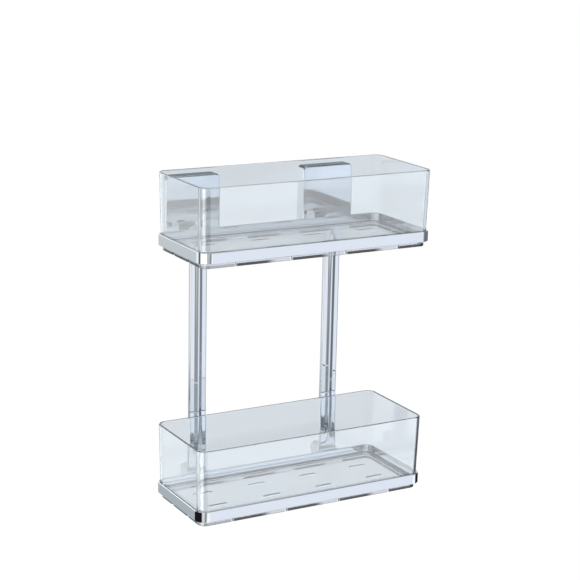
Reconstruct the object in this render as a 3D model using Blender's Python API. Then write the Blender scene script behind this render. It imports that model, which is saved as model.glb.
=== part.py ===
"""Two-tier wall shelf: clear lift-out trays in chromed frames, hung on two posts and two wall fixings.

Axes: +X runs right along the wall, +Y into the wall, +Z up. The wall is the plane Y = 0. The origin lies
on it, midway between the two wall fixings. Every length is in metres.
"""
import math

import bmesh
import bpy

# Clearances between pieces
SEAT_GAP = 0.0003
HOLE_CLEARANCE = 0.0003
TRAY_CLEARANCE = 0.0004

# Layout
TIER_PITCH = 0.272
FIXING_SPACING = 0.164
RIM_TO_WALL = 0.035
FIXING_ABOVE_UPPER_TRAY = 0.039

# Trays, measured at the rim and from the bottom of the foot
TRAY_LENGTH = 0.270
TRAY_DEPTH = 0.108
TRAY_HEIGHT = 0.082
TRAY_WALL = 0.0024
TRAY_DRAFT = 0.0016
RIM_ROUND = 0.0009
FOOT_HEIGHT = 0.0050
FOOT_WALL = 0.0020
FLOOR_THICKNESS = 0.0024
FLOOR_FILLET = 0.0020
PANEL_INSET = 0.0085
PANEL_RISE = 0.0006
PANEL_CORNER_RADIUS = 0.0080
SLOT_LENGTH = 0.020
SLOT_WIDTH = 0.0026
SLOT_PITCH_X = 0.064
SLOT_PITCH_Y = 0.036
SLOT_COLUMNS = 4
SLOT_ROWS = 2
NOTCH_WIDTH = 0.0044
NOTCH_HEIGHT = 0.0042

# Frames that carry the trays
FRAME_BOTTOM = 0.0055
FRAME_HEIGHT = 0.0115
FRAME_WALL = 0.0021
FRAME_CORNER_RADIUS = 0.0125
FRAME_EDGE_ROUND = 0.0005
LEDGE_WIDTH = 0.0019
LEDGE_THICKNESS = 0.0016

# Posts: steel strip with its edges turned back and a pressed rib up the middle
POST_WIDTH = 0.020
POST_SHEET = 0.0015
POST_FLANGE_DEPTH = 0.0034
POST_EDGE_RADIUS = 0.0012
RIB_WIDTH = 0.0104
RIB_HEIGHT = 0.0011
RIB_RUN_OUT = 0.0140
RIB_START = 0.0045
POST_INSET = 0.0006

# Threaded blocks on the rear of the frame, which set the post off from it
SPACER_DEPTH = 0.0050
SPACER_RISE = 0.0025
SPACER_SKIN = 0.0008
SPACER_CORNER_RADIUS = 0.0015

# Screws, driven from the wall's side: two small ones at the top of a post, a larger one at its foot
SCREW_DIAMETER = 0.0030
SCREW_HEAD_DIAMETER = 0.0055
SCREW_HEAD_HEIGHT = 0.0018
SCREW_SOCKET_WIDTH = 0.0020
SCREW_SOCKET_DEPTH = 0.0010
SCREW_CHAMFER = 0.0006
SCREW_PITCH = 0.0100
FOOT_SCREW_DIAMETER = 0.0040
FOOT_SCREW_HEAD_DIAMETER = 0.0072
FOOT_SCREW_HEAD_HEIGHT = 0.0024
FOOT_SCREW_SOCKET_WIDTH = 0.0025
FOOT_SCREW_SOCKET_DEPTH = 0.0014
SCREW_END_GAP = 0.0004

# Wall fixings, from the wall outwards
PAD_SIZE = 0.054
PAD_THICKNESS = 0.0010
PLATE_SIZE = 0.054
PLATE_THICKNESS = 0.0026
PLATE_CORNER_RADIUS = 0.0040
STUD_DIAMETER = 0.0050
STUD_FLANGE_DIAMETER = 0.0140
STUD_FLANGE_THICKNESS = 0.0010
STUD_CHAMFER = 0.0008
BRACKET_SHEET = 0.0025
BRACKET_SLOT_LENGTH = 0.0110
BRACKET_BEND_RADIUS = 0.0025
ARM_DROP = 0.0065
WASHER_DIAMETER = 0.0150
WASHER_THICKNESS = 0.0010
NUT_ACROSS_FLATS = 0.0080
NUT_HEIGHT = 0.0034
COVER_SIZE = 0.062
COVER_WALL = 0.0014
COVER_DEPTH = 0.0136
COVER_WALL_GAP = 0.0004
COVER_CORNER_RADIUS = 0.0050
COVER_EDGE_ROUND = 0.0016
COVER_RIB_DEPTH = 0.0013
COVER_RIB_THICKNESS = 0.0014

# Lower stand-offs that keep the rack plumb; the screw's head seats inside, short of the buffer's plug
STANDOFF_REAR_WIDTH = 0.0140
STANDOFF_REAR_HEIGHT = 0.0120
STANDOFF_SHOULDER = 0.0060
STANDOFF_SEAT = 0.0040
BUFFER_THICKNESS = 0.0026
BUFFER_DIAMETER = 0.0125
BUFFER_CHAMFER = 0.0005
BUFFER_STEM_LENGTH = 0.0060

# Facets
CORNER_STEPS = 7
SMALL_CORNER_STEPS = 4
EDGE_STEPS = 2
BEND_STEPS = 4
ROUND_SIDES = 20
BORE_SIDES = 16
SCREW_SIDES = 12
HEX_SIDES = 6
SLOT_END_STEPS = 4
RIB_STEPS = 10
RIB_FADE_STEPS = 4
SMOOTH_ANGLE = math.radians(32)

# Levels and planes that follow from the sizes above
TIERS = {"upper": -FIXING_ABOVE_UPPER_TRAY, "lower": -FIXING_ABOVE_UPPER_TRAY - TIER_PITCH}
SIDES = {"left": -FIXING_SPACING / 2, "right": FIXING_SPACING / 2}
TRAY_CENTRE_Y = -RIM_TO_WALL - TRAY_DEPTH / 2
FRAME_TOP = FRAME_BOTTOM + FRAME_HEIGHT
LEDGE_TOP = FRAME_BOTTOM + LEDGE_THICKNESS
TRAY_SEAT = LEDGE_TOP + SEAT_GAP
FLOOR_TOP = FOOT_HEIGHT + FLOOR_THICKNESS
SCREW_LEVEL = FRAME_BOTTOM + FRAME_HEIGHT / 2
SCREW_BORE = SCREW_DIAMETER / 2 + HOLE_CLEARANCE
FOOT_SCREW_BORE = FOOT_SCREW_DIAMETER / 2 + HOLE_CLEARANCE
FOOT_SCREW_WELL = FOOT_SCREW_HEAD_DIAMETER / 2 + HOLE_CLEARANCE
POST_INNER_WIDTH = POST_WIDTH - 2 * POST_SHEET - 2 * SEAT_GAP


def tray_inset(level):
    """How far the tray's outer wall stands in from its rim at a height above the foot."""
    return TRAY_DRAFT * (TRAY_HEIGHT - level) / (TRAY_HEIGHT - TRAY_SEAT)


# Insets from the rim's outline, and the corner radii that go with them
FRAME_INNER_INSET = tray_inset(FRAME_TOP) - TRAY_CLEARANCE
FRAME_OUTER_INSET = FRAME_INNER_INSET - FRAME_WALL
LEDGE_INSET = FRAME_INNER_INSET + LEDGE_WIDTH
FOOT_INSET = LEDGE_INSET + TRAY_CLEARANCE
TRAY_CORNER_RADIUS = FRAME_CORNER_RADIUS - FRAME_WALL - TRAY_CLEARANCE

# Planes along Y, from the frame back to the wall
FRAME_REAR_Y = -RIM_TO_WALL - FRAME_OUTER_INSET
SPACER_FRONT_Y = FRAME_REAR_Y + SEAT_GAP
POST_FRONT_Y = SPACER_FRONT_Y + SPACER_DEPTH + SEAT_GAP
POST_REAR_Y = POST_FRONT_Y + POST_SHEET
ARM_FRONT_Y = POST_REAR_Y + SEAT_GAP
ARM_REAR_Y = ARM_FRONT_Y + BRACKET_SHEET
PLATE_REAR_Y = -PAD_THICKNESS - SEAT_GAP
PLATE_FRONT_Y = PLATE_REAR_Y - PLATE_THICKNESS
BRACKET_REAR_Y = PLATE_FRONT_Y - SEAT_GAP
BRACKET_FRONT_Y = BRACKET_REAR_Y - BRACKET_SHEET
WASHER_REAR_Y = BRACKET_FRONT_Y - SEAT_GAP
NUT_REAR_Y = WASHER_REAR_Y - WASHER_THICKNESS - SEAT_GAP
NUT_FRONT_Y = NUT_REAR_Y - NUT_HEIGHT
COVER_REAR_Y = -COVER_WALL_GAP
COVER_FRONT_Y = COVER_REAR_Y - COVER_DEPTH
STUD_END_Y = COVER_FRONT_Y + COVER_WALL + SEAT_GAP
BRACKET_HALF = COVER_SIZE / 2 - COVER_WALL - SEAT_GAP


def clear_scene():
    for item in list(bpy.data.objects):
        bpy.data.objects.remove(item, do_unlink=True)


def make_material(name, colour, roughness, metallic=0.0, transmission=0.0, alpha=1.0):
    material = bpy.data.materials.new(name)
    material.use_nodes = True
    shader = material.node_tree.nodes["Principled BSDF"]
    shader.inputs["Base Color"].default_value = (*colour, 1.0)
    shader.inputs["Roughness"].default_value = roughness
    shader.inputs["Metallic"].default_value = metallic
    shader.inputs["Transmission Weight"].default_value = transmission
    shader.inputs["Alpha"].default_value = alpha
    material.diffuse_color = (*colour, alpha)
    return material


def finish_object(name, bm, location, material):
    """Turn a closed bmesh into a named object with smooth rounds and outward faces."""
    bmesh.ops.recalc_face_normals(bm, faces=bm.faces)
    mesh = bpy.data.meshes.new(name)
    bm.to_mesh(mesh)
    bm.free()
    mesh.shade_smooth()
    mesh.set_sharp_from_angle(angle=SMOOTH_ANGLE)
    mesh.materials.append(material)
    item = bpy.data.objects.new(name, mesh)
    item.location = location
    bpy.context.collection.objects.link(item)
    return item


def arc(centre_u, centre_v, radius, start, end, steps):
    """Points of an arc, angles in degrees, both ends included."""
    points = []
    for step in range(steps + 1):
        angle = math.radians(start + (end - start) * step / steps)
        points.append((centre_u + radius * math.cos(angle), centre_v + radius * math.sin(angle)))
    return points


def rounded_rectangle(half_u, half_v, radius, steps=CORNER_STEPS):
    """Outline of a rectangle with round corners, centred on zero, anticlockwise."""
    points = []
    corners = ((1, -1, -90), (1, 1, 0), (-1, 1, 90), (-1, -1, 180))
    for sign_u, sign_v, start in corners:
        centre_u = sign_u * (half_u - radius)
        centre_v = sign_v * (half_v - radius)
        points += arc(centre_u, centre_v, radius, start, start + 90, steps)
    return points


def circle(centre_u, centre_v, radius, sides=ROUND_SIDES):
    return arc(centre_u, centre_v, radius, 0, 360 - 360 / sides, sides - 1)


def slot(centre_u, centre_v, length, width, steps=SLOT_END_STEPS):
    """Outline of a slot with round ends that runs along u."""
    reach = length / 2 - width / 2
    right = arc(centre_u + reach, centre_v, width / 2, -90, 90, steps)
    left = arc(centre_u - reach, centre_v, width / 2, 90, 270, steps)
    return right + left


def new_loop(bm, points):
    return [bm.verts.new(point) for point in points]


def bridge(bm, first, second):
    """Join two loops of equal length with a band of four-sided faces."""
    count = len(first)
    for index in range(count):
        after = (index + 1) % count
        bm.faces.new((first[index], first[after], second[after], second[index]))


def fill(bm, outline, holes=()):
    """Close a flat outline, leaving its holes open."""
    edges = []
    for loop in (outline, *holes):
        for index, vert in enumerate(loop):
            pair = (loop[index - 1], vert)
            edges.append(bm.edges.get(pair) or bm.edges.new(pair))
    bmesh.ops.triangle_fill(bm, use_beauty=True, edges=edges)


def plate(name, outline, holes, near, far, place, location, material):
    """Extrude a flat outline with holes; place turns (u, v, depth) into (x, y, z)."""
    bm = bmesh.new()
    ends = []
    for depth in (near, far):
        loops = []
        for loop in (outline, *holes):
            loops.append(new_loop(bm, [place(u, v, depth) for u, v in loop]))
        ends.append(loops)
    for first, second in zip(*ends):
        bridge(bm, first, second)
    for loops in ends:
        fill(bm, loops[0], loops[1:])
    return finish_object(name, bm, location, material)


def facing_wall(u, v, depth):
    """A plate that stands parallel to the wall: its outline in X and Z, its depth along Y."""
    return (u, depth, v)


def turned(name, profile, location, material, sides=ROUND_SIDES):
    """Revolve a profile of (radius, y) points about the Y axis; both ends are closed by flat faces."""
    bm = bmesh.new()
    loops = []
    for radius, y in profile:
        loops.append(new_loop(bm, [(u, y, v) for u, v in circle(0, 0, radius, sides)]))
    for first, second in zip(loops, loops[1:]):
        bridge(bm, first, second)
    bm.faces.new(loops[0])
    bm.faces.new(loops[-1])
    return finish_object(name, bm, location, material)


def cut(target, name, bm):
    """Take a closed shape, given in the target's own coordinates, out of the target."""
    bmesh.ops.recalc_face_normals(bm, faces=bm.faces)
    mesh = bpy.data.meshes.new(name)
    bm.to_mesh(mesh)
    bm.free()
    cutter = bpy.data.objects.new(name, mesh)
    bpy.context.collection.objects.link(cutter)
    cutter.location = target.location
    cutter.hide_render = True
    cutter.display_type = "WIRE"
    modifier = target.modifiers.new(name, "BOOLEAN")
    modifier.operation = "DIFFERENCE"
    modifier.solver = "EXACT"
    modifier.object = cutter


def add_turned_cutter(bm, x, z, profile, sides=BORE_SIDES):
    """Add a closed round shape along Y at (x, z), from a profile of (radius, y) points."""
    loops = []
    for radius, y in profile:
        loops.append(new_loop(bm, [(x + u, y, z + v) for u, v in circle(0, 0, radius, sides)]))
    for first, second in zip(loops, loops[1:]):
        bridge(bm, first, second)
    bm.faces.new(loops[0])
    bm.faces.new(loops[-1])


def add_box_cutter(bm, low, high):
    corners = []
    for z in (low[2], high[2]):
        outline = ((low[0], low[1]), (high[0], low[1]), (high[0], high[1]), (low[0], high[1]))
        corners.append(new_loop(bm, [(x, y, z) for x, y in outline]))
    bridge(bm, *corners)
    bm.faces.new(corners[0])
    bm.faces.new(corners[1])


def tray_loop(inset, radius, level):
    """Outline of the tray or its frame at one height, set in from the rim on all sides."""
    outline = rounded_rectangle(TRAY_LENGTH / 2 - inset, TRAY_DEPTH / 2 - inset, radius)
    return [(x, y, level) for x, y in outline]


def screw_bores(tier):
    """Where the screws of a tier stand across the post, and the radius of their clearance holes."""
    if tier == "upper":
        return ((-SCREW_PITCH / 2, SCREW_BORE), (SCREW_PITCH / 2, SCREW_BORE))
    return ((0.0, FOOT_SCREW_BORE),)


def make_tray(tier, material):
    """One clear moulding: drafted wall, round rim, recessed floor with drain slots, and a skirt below it."""
    inner_radius = TRAY_CORNER_RADIUS - TRAY_WALL
    foot_radius = FRAME_CORNER_RADIUS - FRAME_WALL - LEDGE_WIDTH - TRAY_CLEARANCE
    floor_inset = tray_inset(FLOOR_TOP) + TRAY_WALL
    profile = [
        (FOOT_INSET + FOOT_WALL, foot_radius - FOOT_WALL, FOOT_HEIGHT),
        (FOOT_INSET + FOOT_WALL, foot_radius - FOOT_WALL, 0.0),
        (FOOT_INSET, foot_radius, 0.0),
        (FOOT_INSET, foot_radius, TRAY_SEAT),
        (tray_inset(TRAY_SEAT), TRAY_CORNER_RADIUS, TRAY_SEAT),
    ]
    for inset, lift in arc(RIM_ROUND, -RIM_ROUND, RIM_ROUND, 180, 90, EDGE_STEPS):
        profile.append((inset, TRAY_CORNER_RADIUS - inset, TRAY_HEIGHT + lift))
    for inset, lift in arc(TRAY_WALL - RIM_ROUND, -RIM_ROUND, RIM_ROUND, 90, 0, EDGE_STEPS):
        profile.append((inset, TRAY_CORNER_RADIUS - inset, TRAY_HEIGHT + lift))
    for inset, lift in arc(FLOOR_FILLET, FLOOR_FILLET, FLOOR_FILLET, 180, 270, EDGE_STEPS + 1):
        profile.append((floor_inset + inset, inner_radius - inset, FLOOR_TOP + lift))
    profile.append((floor_inset + PANEL_INSET, PANEL_CORNER_RADIUS, FLOOR_TOP))
    rise_inset = floor_inset + PANEL_INSET + PANEL_RISE
    profile.append((rise_inset, PANEL_CORNER_RADIUS - PANEL_RISE, FLOOR_TOP + PANEL_RISE))

    bm = bmesh.new()
    loops = [new_loop(bm, tray_loop(*row)) for row in profile]
    for first, second in zip(loops, loops[1:]):
        bridge(bm, first, second)

    slot_loops = {FOOT_HEIGHT: [], FLOOR_TOP + PANEL_RISE: []}
    for column in range(SLOT_COLUMNS):
        x = (column - (SLOT_COLUMNS - 1) / 2) * SLOT_PITCH_X
        for row in range(SLOT_ROWS):
            y = (row - (SLOT_ROWS - 1) / 2) * SLOT_PITCH_Y
            outline = slot(x, y, SLOT_LENGTH, SLOT_WIDTH)
            for level, found in slot_loops.items():
                found.append(new_loop(bm, [(u, v, level) for u, v in outline]))
    under, above = slot_loops.values()
    for first, second in zip(under, above):
        bridge(bm, first, second)
    fill(bm, loops[0], under)
    fill(bm, loops[-1], above)
    location = (0.0, TRAY_CENTRE_Y, TIERS[tier])
    tray = finish_object(f"{tier}_tray", bm, location, material)

    notches = bmesh.new()
    reach_x = TRAY_LENGTH / 2
    reach_y = TRAY_DEPTH / 2
    skirt = FOOT_INSET + FOOT_WALL + TRAY_CLEARANCE
    for column in range(SLOT_COLUMNS):
        x = (column - (SLOT_COLUMNS - 1) / 2) * SLOT_PITCH_X
        for low_y, high_y in ((-reach_y, skirt - reach_y), (reach_y - skirt, reach_y)):
            low = (x - NOTCH_WIDTH / 2, low_y, -NOTCH_HEIGHT)
            add_box_cutter(notches, low, (x + NOTCH_WIDTH / 2, high_y, NOTCH_HEIGHT))
    for row in range(SLOT_ROWS):
        y = (row - (SLOT_ROWS - 1) / 2) * SLOT_PITCH_Y
        for low_x, high_x in ((-reach_x, skirt - reach_x), (reach_x - skirt, reach_x)):
            low = (low_x, y - NOTCH_WIDTH / 2, -NOTCH_HEIGHT)
            add_box_cutter(notches, low, (high_x, y + NOTCH_WIDTH / 2, NOTCH_HEIGHT))
    cut(tray, f"{tier}_tray_notches", notches)


def make_frame(tier, material):
    """A chromed ring round the tray, with a ledge inside its lower edge that carries the tray."""
    def row(inset, level):
        return (inset, FRAME_CORNER_RADIUS - (inset - FRAME_OUTER_INSET), level)

    edge = FRAME_EDGE_ROUND
    profile = [row(LEDGE_INSET, FRAME_BOTTOM)]
    for inset, lift in arc(edge, edge, edge, 270, 180, EDGE_STEPS):
        profile.append(row(FRAME_OUTER_INSET + inset, FRAME_BOTTOM + lift))
    for inset, lift in arc(edge, -edge, edge, 180, 90, EDGE_STEPS):
        profile.append(row(FRAME_OUTER_INSET + inset, FRAME_TOP + lift))
    for inset, lift in arc(-edge, -edge, edge, 90, 0, EDGE_STEPS):
        profile.append(row(FRAME_INNER_INSET + inset, FRAME_TOP + lift))
    profile.append(row(FRAME_INNER_INSET, LEDGE_TOP))
    profile.append(row(LEDGE_INSET, LEDGE_TOP))

    bm = bmesh.new()
    loops = [new_loop(bm, tray_loop(*line)) for line in profile]
    for first, second in zip(loops, loops[1:] + loops[:1]):
        bridge(bm, first, second)
    finish_object(f"{tier}_frame", bm, (0.0, TRAY_CENTRE_Y, TIERS[tier]), material)


def post_section(rib):
    """Outline of the strip at one height: flat, edges turned back, and a rib of the given height."""
    half = POST_WIDTH / 2
    sheet = POST_SHEET
    radius = POST_EDGE_RADIUS

    def rib_line(offset):
        points = []
        for step in range(RIB_STEPS + 1):
            x = RIB_WIDTH * (step / RIB_STEPS - 0.5)
            points.append((x, offset - rib * 0.5 * (1 + math.cos(2 * math.pi * x / RIB_WIDTH))))
        return points

    front_left = arc(-half + radius, radius, radius, 180, 270, EDGE_STEPS)
    front_right = arc(half - radius, radius, radius, 270, 360, EDGE_STEPS)
    rear = [(x, y) for x, y in reversed(rib_line(sheet))]
    outline = [(-half, POST_FLANGE_DEPTH)] + front_left + rib_line(0.0) + front_right
    outline += [(half, POST_FLANGE_DEPTH), (half - sheet, POST_FLANGE_DEPTH), (half - sheet, sheet)]
    outline += rear
    outline += [(-half + sheet, sheet), (-half + sheet, POST_FLANGE_DEPTH)]
    return outline


def make_post(side, material):
    """A strip from the lower frame to the upper one, whose pressed rib fades out short of both ends."""
    bottom = TIERS["lower"] + FRAME_BOTTOM + POST_INSET
    top = TIERS["upper"] + FRAME_TOP - POST_INSET
    rib_low = TIERS["lower"] + FRAME_TOP + SPACER_RISE + RIB_START
    rib_high = TIERS["upper"] + FRAME_BOTTOM - SPACER_RISE - RIB_START
    fades = []
    for step in range(RIB_FADE_STEPS + 1):
        share = step / RIB_FADE_STEPS
        fades.append((share * RIB_RUN_OUT, RIB_HEIGHT * (3 - 2 * share) * share * share))
    stations = [(bottom, 0.0)]
    stations += [(rib_low + along, height) for along, height in fades]
    stations += [(rib_high - along, height) for along, height in reversed(fades)]
    stations.append((top, 0.0))

    bm = bmesh.new()
    loops = []
    for level, height in stations:
        loops.append(new_loop(bm, [(x, y, level - bottom) for x, y in post_section(height)]))
    for first, second in zip(loops, loops[1:]):
        bridge(bm, first, second)
    fill(bm, loops[0])
    fill(bm, loops[-1])
    post = finish_object(f"{side}_post", bm, (SIDES[side], POST_FRONT_Y, bottom), material)

    holes = bmesh.new()
    for tier, level in TIERS.items():
        for offset, bore in screw_bores(tier):
            profile = [(bore, -POST_SHEET), (bore, 2 * POST_SHEET)]
            add_turned_cutter(holes, offset, level + SCREW_LEVEL - bottom, profile)
    cut(post, f"{side}_post_holes", holes)


def make_spacer(tier, side, material):
    """A block on the frame's rear wall that sets the post off, so that it clears the tray's rim."""
    half_height = FRAME_HEIGHT / 2 + SPACER_RISE
    outline = rounded_rectangle(POST_WIDTH / 2, half_height, SPACER_CORNER_RADIUS, SMALL_CORNER_STEPS)
    bm = bmesh.new()
    front = new_loop(bm, [(u, 0.0, v) for u, v in outline])
    rear = new_loop(bm, [(u, SPACER_DEPTH, v) for u, v in outline])
    bridge(bm, front, rear)
    mouths = []
    for offset, bore in screw_bores(tier):
        hole = circle(offset, 0.0, bore, BORE_SIDES)
        mouth = new_loop(bm, [(u, SPACER_DEPTH, v) for u, v in hole])
        end = new_loop(bm, [(u, SPACER_SKIN, v) for u, v in hole])
        bridge(bm, mouth, end)
        bm.faces.new(end)
        mouths.append(mouth)
    bm.faces.new(front)
    fill(bm, rear, mouths)
    location = (SIDES[side], SPACER_FRONT_Y, TIERS[tier] + SCREW_LEVEL)
    finish_object(f"{side}_{tier}_spacer", bm, location, material)


def make_screw(name, place, sizes, material):
    """A screw with a hex socket, seen from the wall's side; it is placed by the seat under its head."""
    diameter, head_diameter, head_height, socket_width, socket_depth, length = sizes
    radius = diameter / 2
    head = head_diameter / 2
    bm = bmesh.new()
    outline = circle(0, 0, socket_width / math.sqrt(3), HEX_SIDES)
    socket_mouth = new_loop(bm, [(u, head_height, v) for u, v in outline])
    socket_end = new_loop(bm, [(u, head_height - socket_depth, v) for u, v in outline])
    profile = [
        (head - SCREW_CHAMFER, head_height),
        (head, head_height - SCREW_CHAMFER),
        (head, 0.0),
        (radius, 0.0),
        (radius, SCREW_CHAMFER - length),
        (radius - SCREW_CHAMFER, -length),
    ]
    loops = []
    for size, y in profile:
        loops.append(new_loop(bm, [(u, y, v) for u, v in circle(0, 0, size, SCREW_SIDES)]))
    for first, second in zip(loops, loops[1:]):
        bridge(bm, first, second)
    bridge(bm, socket_mouth, socket_end)
    bm.faces.new(socket_end)
    bm.faces.new(loops[-1])
    fill(bm, loops[0], [socket_mouth])
    finish_object(name, bm, place, material)


def make_upper_screws(side, material):
    """Two screws hold the bracket's upturned end and the post to the block on the upper frame."""
    seat = ARM_REAR_Y + SEAT_GAP
    length = seat - (SPACER_FRONT_Y + SPACER_SKIN + SCREW_END_GAP)
    sizes = (
        SCREW_DIAMETER,
        SCREW_HEAD_DIAMETER,
        SCREW_HEAD_HEIGHT,
        SCREW_SOCKET_WIDTH,
        SCREW_SOCKET_DEPTH,
        length,
    )
    outwards = -1 if side == "left" else 1
    for name, step in (("outer", outwards), ("inner", -outwards)):
        place = (SIDES[side] + step * SCREW_PITCH / 2, seat, TIERS["upper"] + SCREW_LEVEL)
        make_screw(f"{side}_upper_{name}_screw", place, sizes, material)


def make_foot_screw(side, material):
    """One screw, deep inside the stand-off, holds it and the post to the block on the lower frame."""
    seat = ARM_FRONT_Y + STANDOFF_SEAT + SEAT_GAP
    length = seat - (SPACER_FRONT_Y + SPACER_SKIN + SCREW_END_GAP)
    sizes = (
        FOOT_SCREW_DIAMETER,
        FOOT_SCREW_HEAD_DIAMETER,
        FOOT_SCREW_HEAD_HEIGHT,
        FOOT_SCREW_SOCKET_WIDTH,
        FOOT_SCREW_SOCKET_DEPTH,
        length,
    )
    place = (SIDES[side], seat, TIERS["lower"] + SCREW_LEVEL)
    make_screw(f"{side}_lower_screw", place, sizes, material)


def make_standoff(side, material):
    """A tapered block behind the foot of the post, bored through for its screw and the buffer's plug."""
    length = -BUFFER_THICKNESS - SEAT_GAP - ARM_FRONT_Y
    height = FRAME_HEIGHT + 2 * SPACER_RISE
    sections = (
        (POST_INNER_WIDTH, height, 0.0),
        (POST_INNER_WIDTH, height, STANDOFF_SHOULDER),
        (STANDOFF_REAR_WIDTH, STANDOFF_REAR_HEIGHT, length),
    )
    bm = bmesh.new()
    loops = []
    for width, tall, y in sections:
        outline = rounded_rectangle(width / 2, tall / 2, SPACER_CORNER_RADIUS, SMALL_CORNER_STEPS)
        loops.append(new_loop(bm, [(u, y, v) for u, v in outline]))
    for first, second in zip(loops, loops[1:]):
        bridge(bm, first, second)
    bore = []
    for radius, y in (
        (FOOT_SCREW_BORE, 0.0),
        (FOOT_SCREW_BORE, STANDOFF_SEAT),
        (FOOT_SCREW_WELL, STANDOFF_SEAT),
        (FOOT_SCREW_WELL, length),
    ):
        bore.append(new_loop(bm, [(u, y, v) for u, v in circle(0, 0, radius)]))
    for first, second in zip(bore, bore[1:]):
        bridge(bm, first, second)
    fill(bm, loops[0], [bore[0]])
    fill(bm, loops[-1], [bore[-1]])
    location = (SIDES[side], ARM_FRONT_Y, TIERS["lower"] + SCREW_LEVEL)
    finish_object(f"{side}_standoff", bm, location, material)


def make_buffer(side, material):
    """A soft disc that rests on the wall, with a stem that plugs into the stand-off."""
    level = TIERS["lower"] + SCREW_LEVEL
    stem = FOOT_SCREW_WELL - HOLE_CLEARANCE
    disc = BUFFER_DIAMETER / 2
    profile = [
        (stem, -BUFFER_THICKNESS - BUFFER_STEM_LENGTH),
        (stem, -BUFFER_THICKNESS),
        (disc, -BUFFER_THICKNESS),
        (disc, -BUFFER_CHAMFER),
        (disc - BUFFER_CHAMFER, 0.0),
    ]
    turned(f"{side}_wall_buffer", profile, (SIDES[side], 0.0, level), material)


def make_adhesive_pad(side, material):
    outline = rounded_rectangle(PAD_SIZE / 2, PAD_SIZE / 2, PLATE_CORNER_RADIUS, SMALL_CORNER_STEPS)
    location = (SIDES[side], 0.0, 0.0)
    plate(f"{side}_adhesive_pad", outline, [], -PAD_THICKNESS, 0.0, facing_wall, location, material)


def make_wall_plate(side, material):
    """A moulded plate whose rear recess traps the stud's flange against the pad."""
    outline = rounded_rectangle(PLATE_SIZE / 2, PLATE_SIZE / 2, PLATE_CORNER_RADIUS, SMALL_CORNER_STEPS)
    recess = circle(0, 0, STUD_FLANGE_DIAMETER / 2 + HOLE_CLEARANCE)
    bore = circle(0, 0, STUD_DIAMETER / 2 + HOLE_CLEARANCE)
    shoulder = PLATE_REAR_Y - STUD_FLANGE_THICKNESS - SEAT_GAP
    bm = bmesh.new()

    def at(loop, y):
        return new_loop(bm, [(u, y, v) for u, v in loop])

    rear = at(outline, PLATE_REAR_Y)
    front = at(outline, PLATE_FRONT_Y)
    recess_rear = at(recess, PLATE_REAR_Y)
    recess_floor = at(recess, shoulder)
    bore_rear = at(bore, shoulder)
    bore_front = at(bore, PLATE_FRONT_Y)
    bridge(bm, rear, front)
    bridge(bm, recess_rear, recess_floor)
    bridge(bm, recess_floor, bore_rear)
    bridge(bm, bore_rear, bore_front)
    fill(bm, rear, [recess_rear])
    fill(bm, front, [bore_front])
    finish_object(f"{side}_wall_plate", bm, (SIDES[side], 0.0, 0.0), material)


def make_stud(side, material):
    radius = STUD_DIAMETER / 2
    flange = STUD_FLANGE_DIAMETER / 2
    profile = [
        (flange, PLATE_REAR_Y),
        (flange, PLATE_REAR_Y - STUD_FLANGE_THICKNESS),
        (radius, PLATE_REAR_Y - STUD_FLANGE_THICKNESS),
        (radius, STUD_END_Y + STUD_CHAMFER),
        (radius - STUD_CHAMFER, STUD_END_Y),
    ]
    turned(f"{side}_stud", profile, (SIDES[side], 0.0, 0.0), material)


def bracket_side_view():
    """Side view of the bracket's arm, as (y, z) points from the plate's foot to the end behind the post."""
    sheet = BRACKET_SHEET
    inner = BRACKET_BEND_RADIUS
    outer = inner + sheet
    arm_top = -COVER_SIZE / 2 - ARM_DROP
    arm_bottom = arm_top - sheet
    tip = TIERS["upper"] + FRAME_TOP - POST_INSET
    plate_foot = -BRACKET_HALF
    outline = [(BRACKET_FRONT_Y, plate_foot), (BRACKET_REAR_Y, plate_foot)]
    outline += arc(BRACKET_REAR_Y - outer, arm_bottom + outer, outer, 0, -90, BEND_STEPS)
    outline += arc(ARM_FRONT_Y + outer, arm_bottom + outer, outer, 270, 180, BEND_STEPS)
    outline += [(ARM_FRONT_Y, tip), (ARM_REAR_Y, tip)]
    outline += arc(ARM_REAR_Y + inner, arm_top + inner, inner, 180, 270, BEND_STEPS)
    outline += arc(BRACKET_FRONT_Y - inner, arm_top + inner, inner, -90, 0, BEND_STEPS)
    return outline


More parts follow.
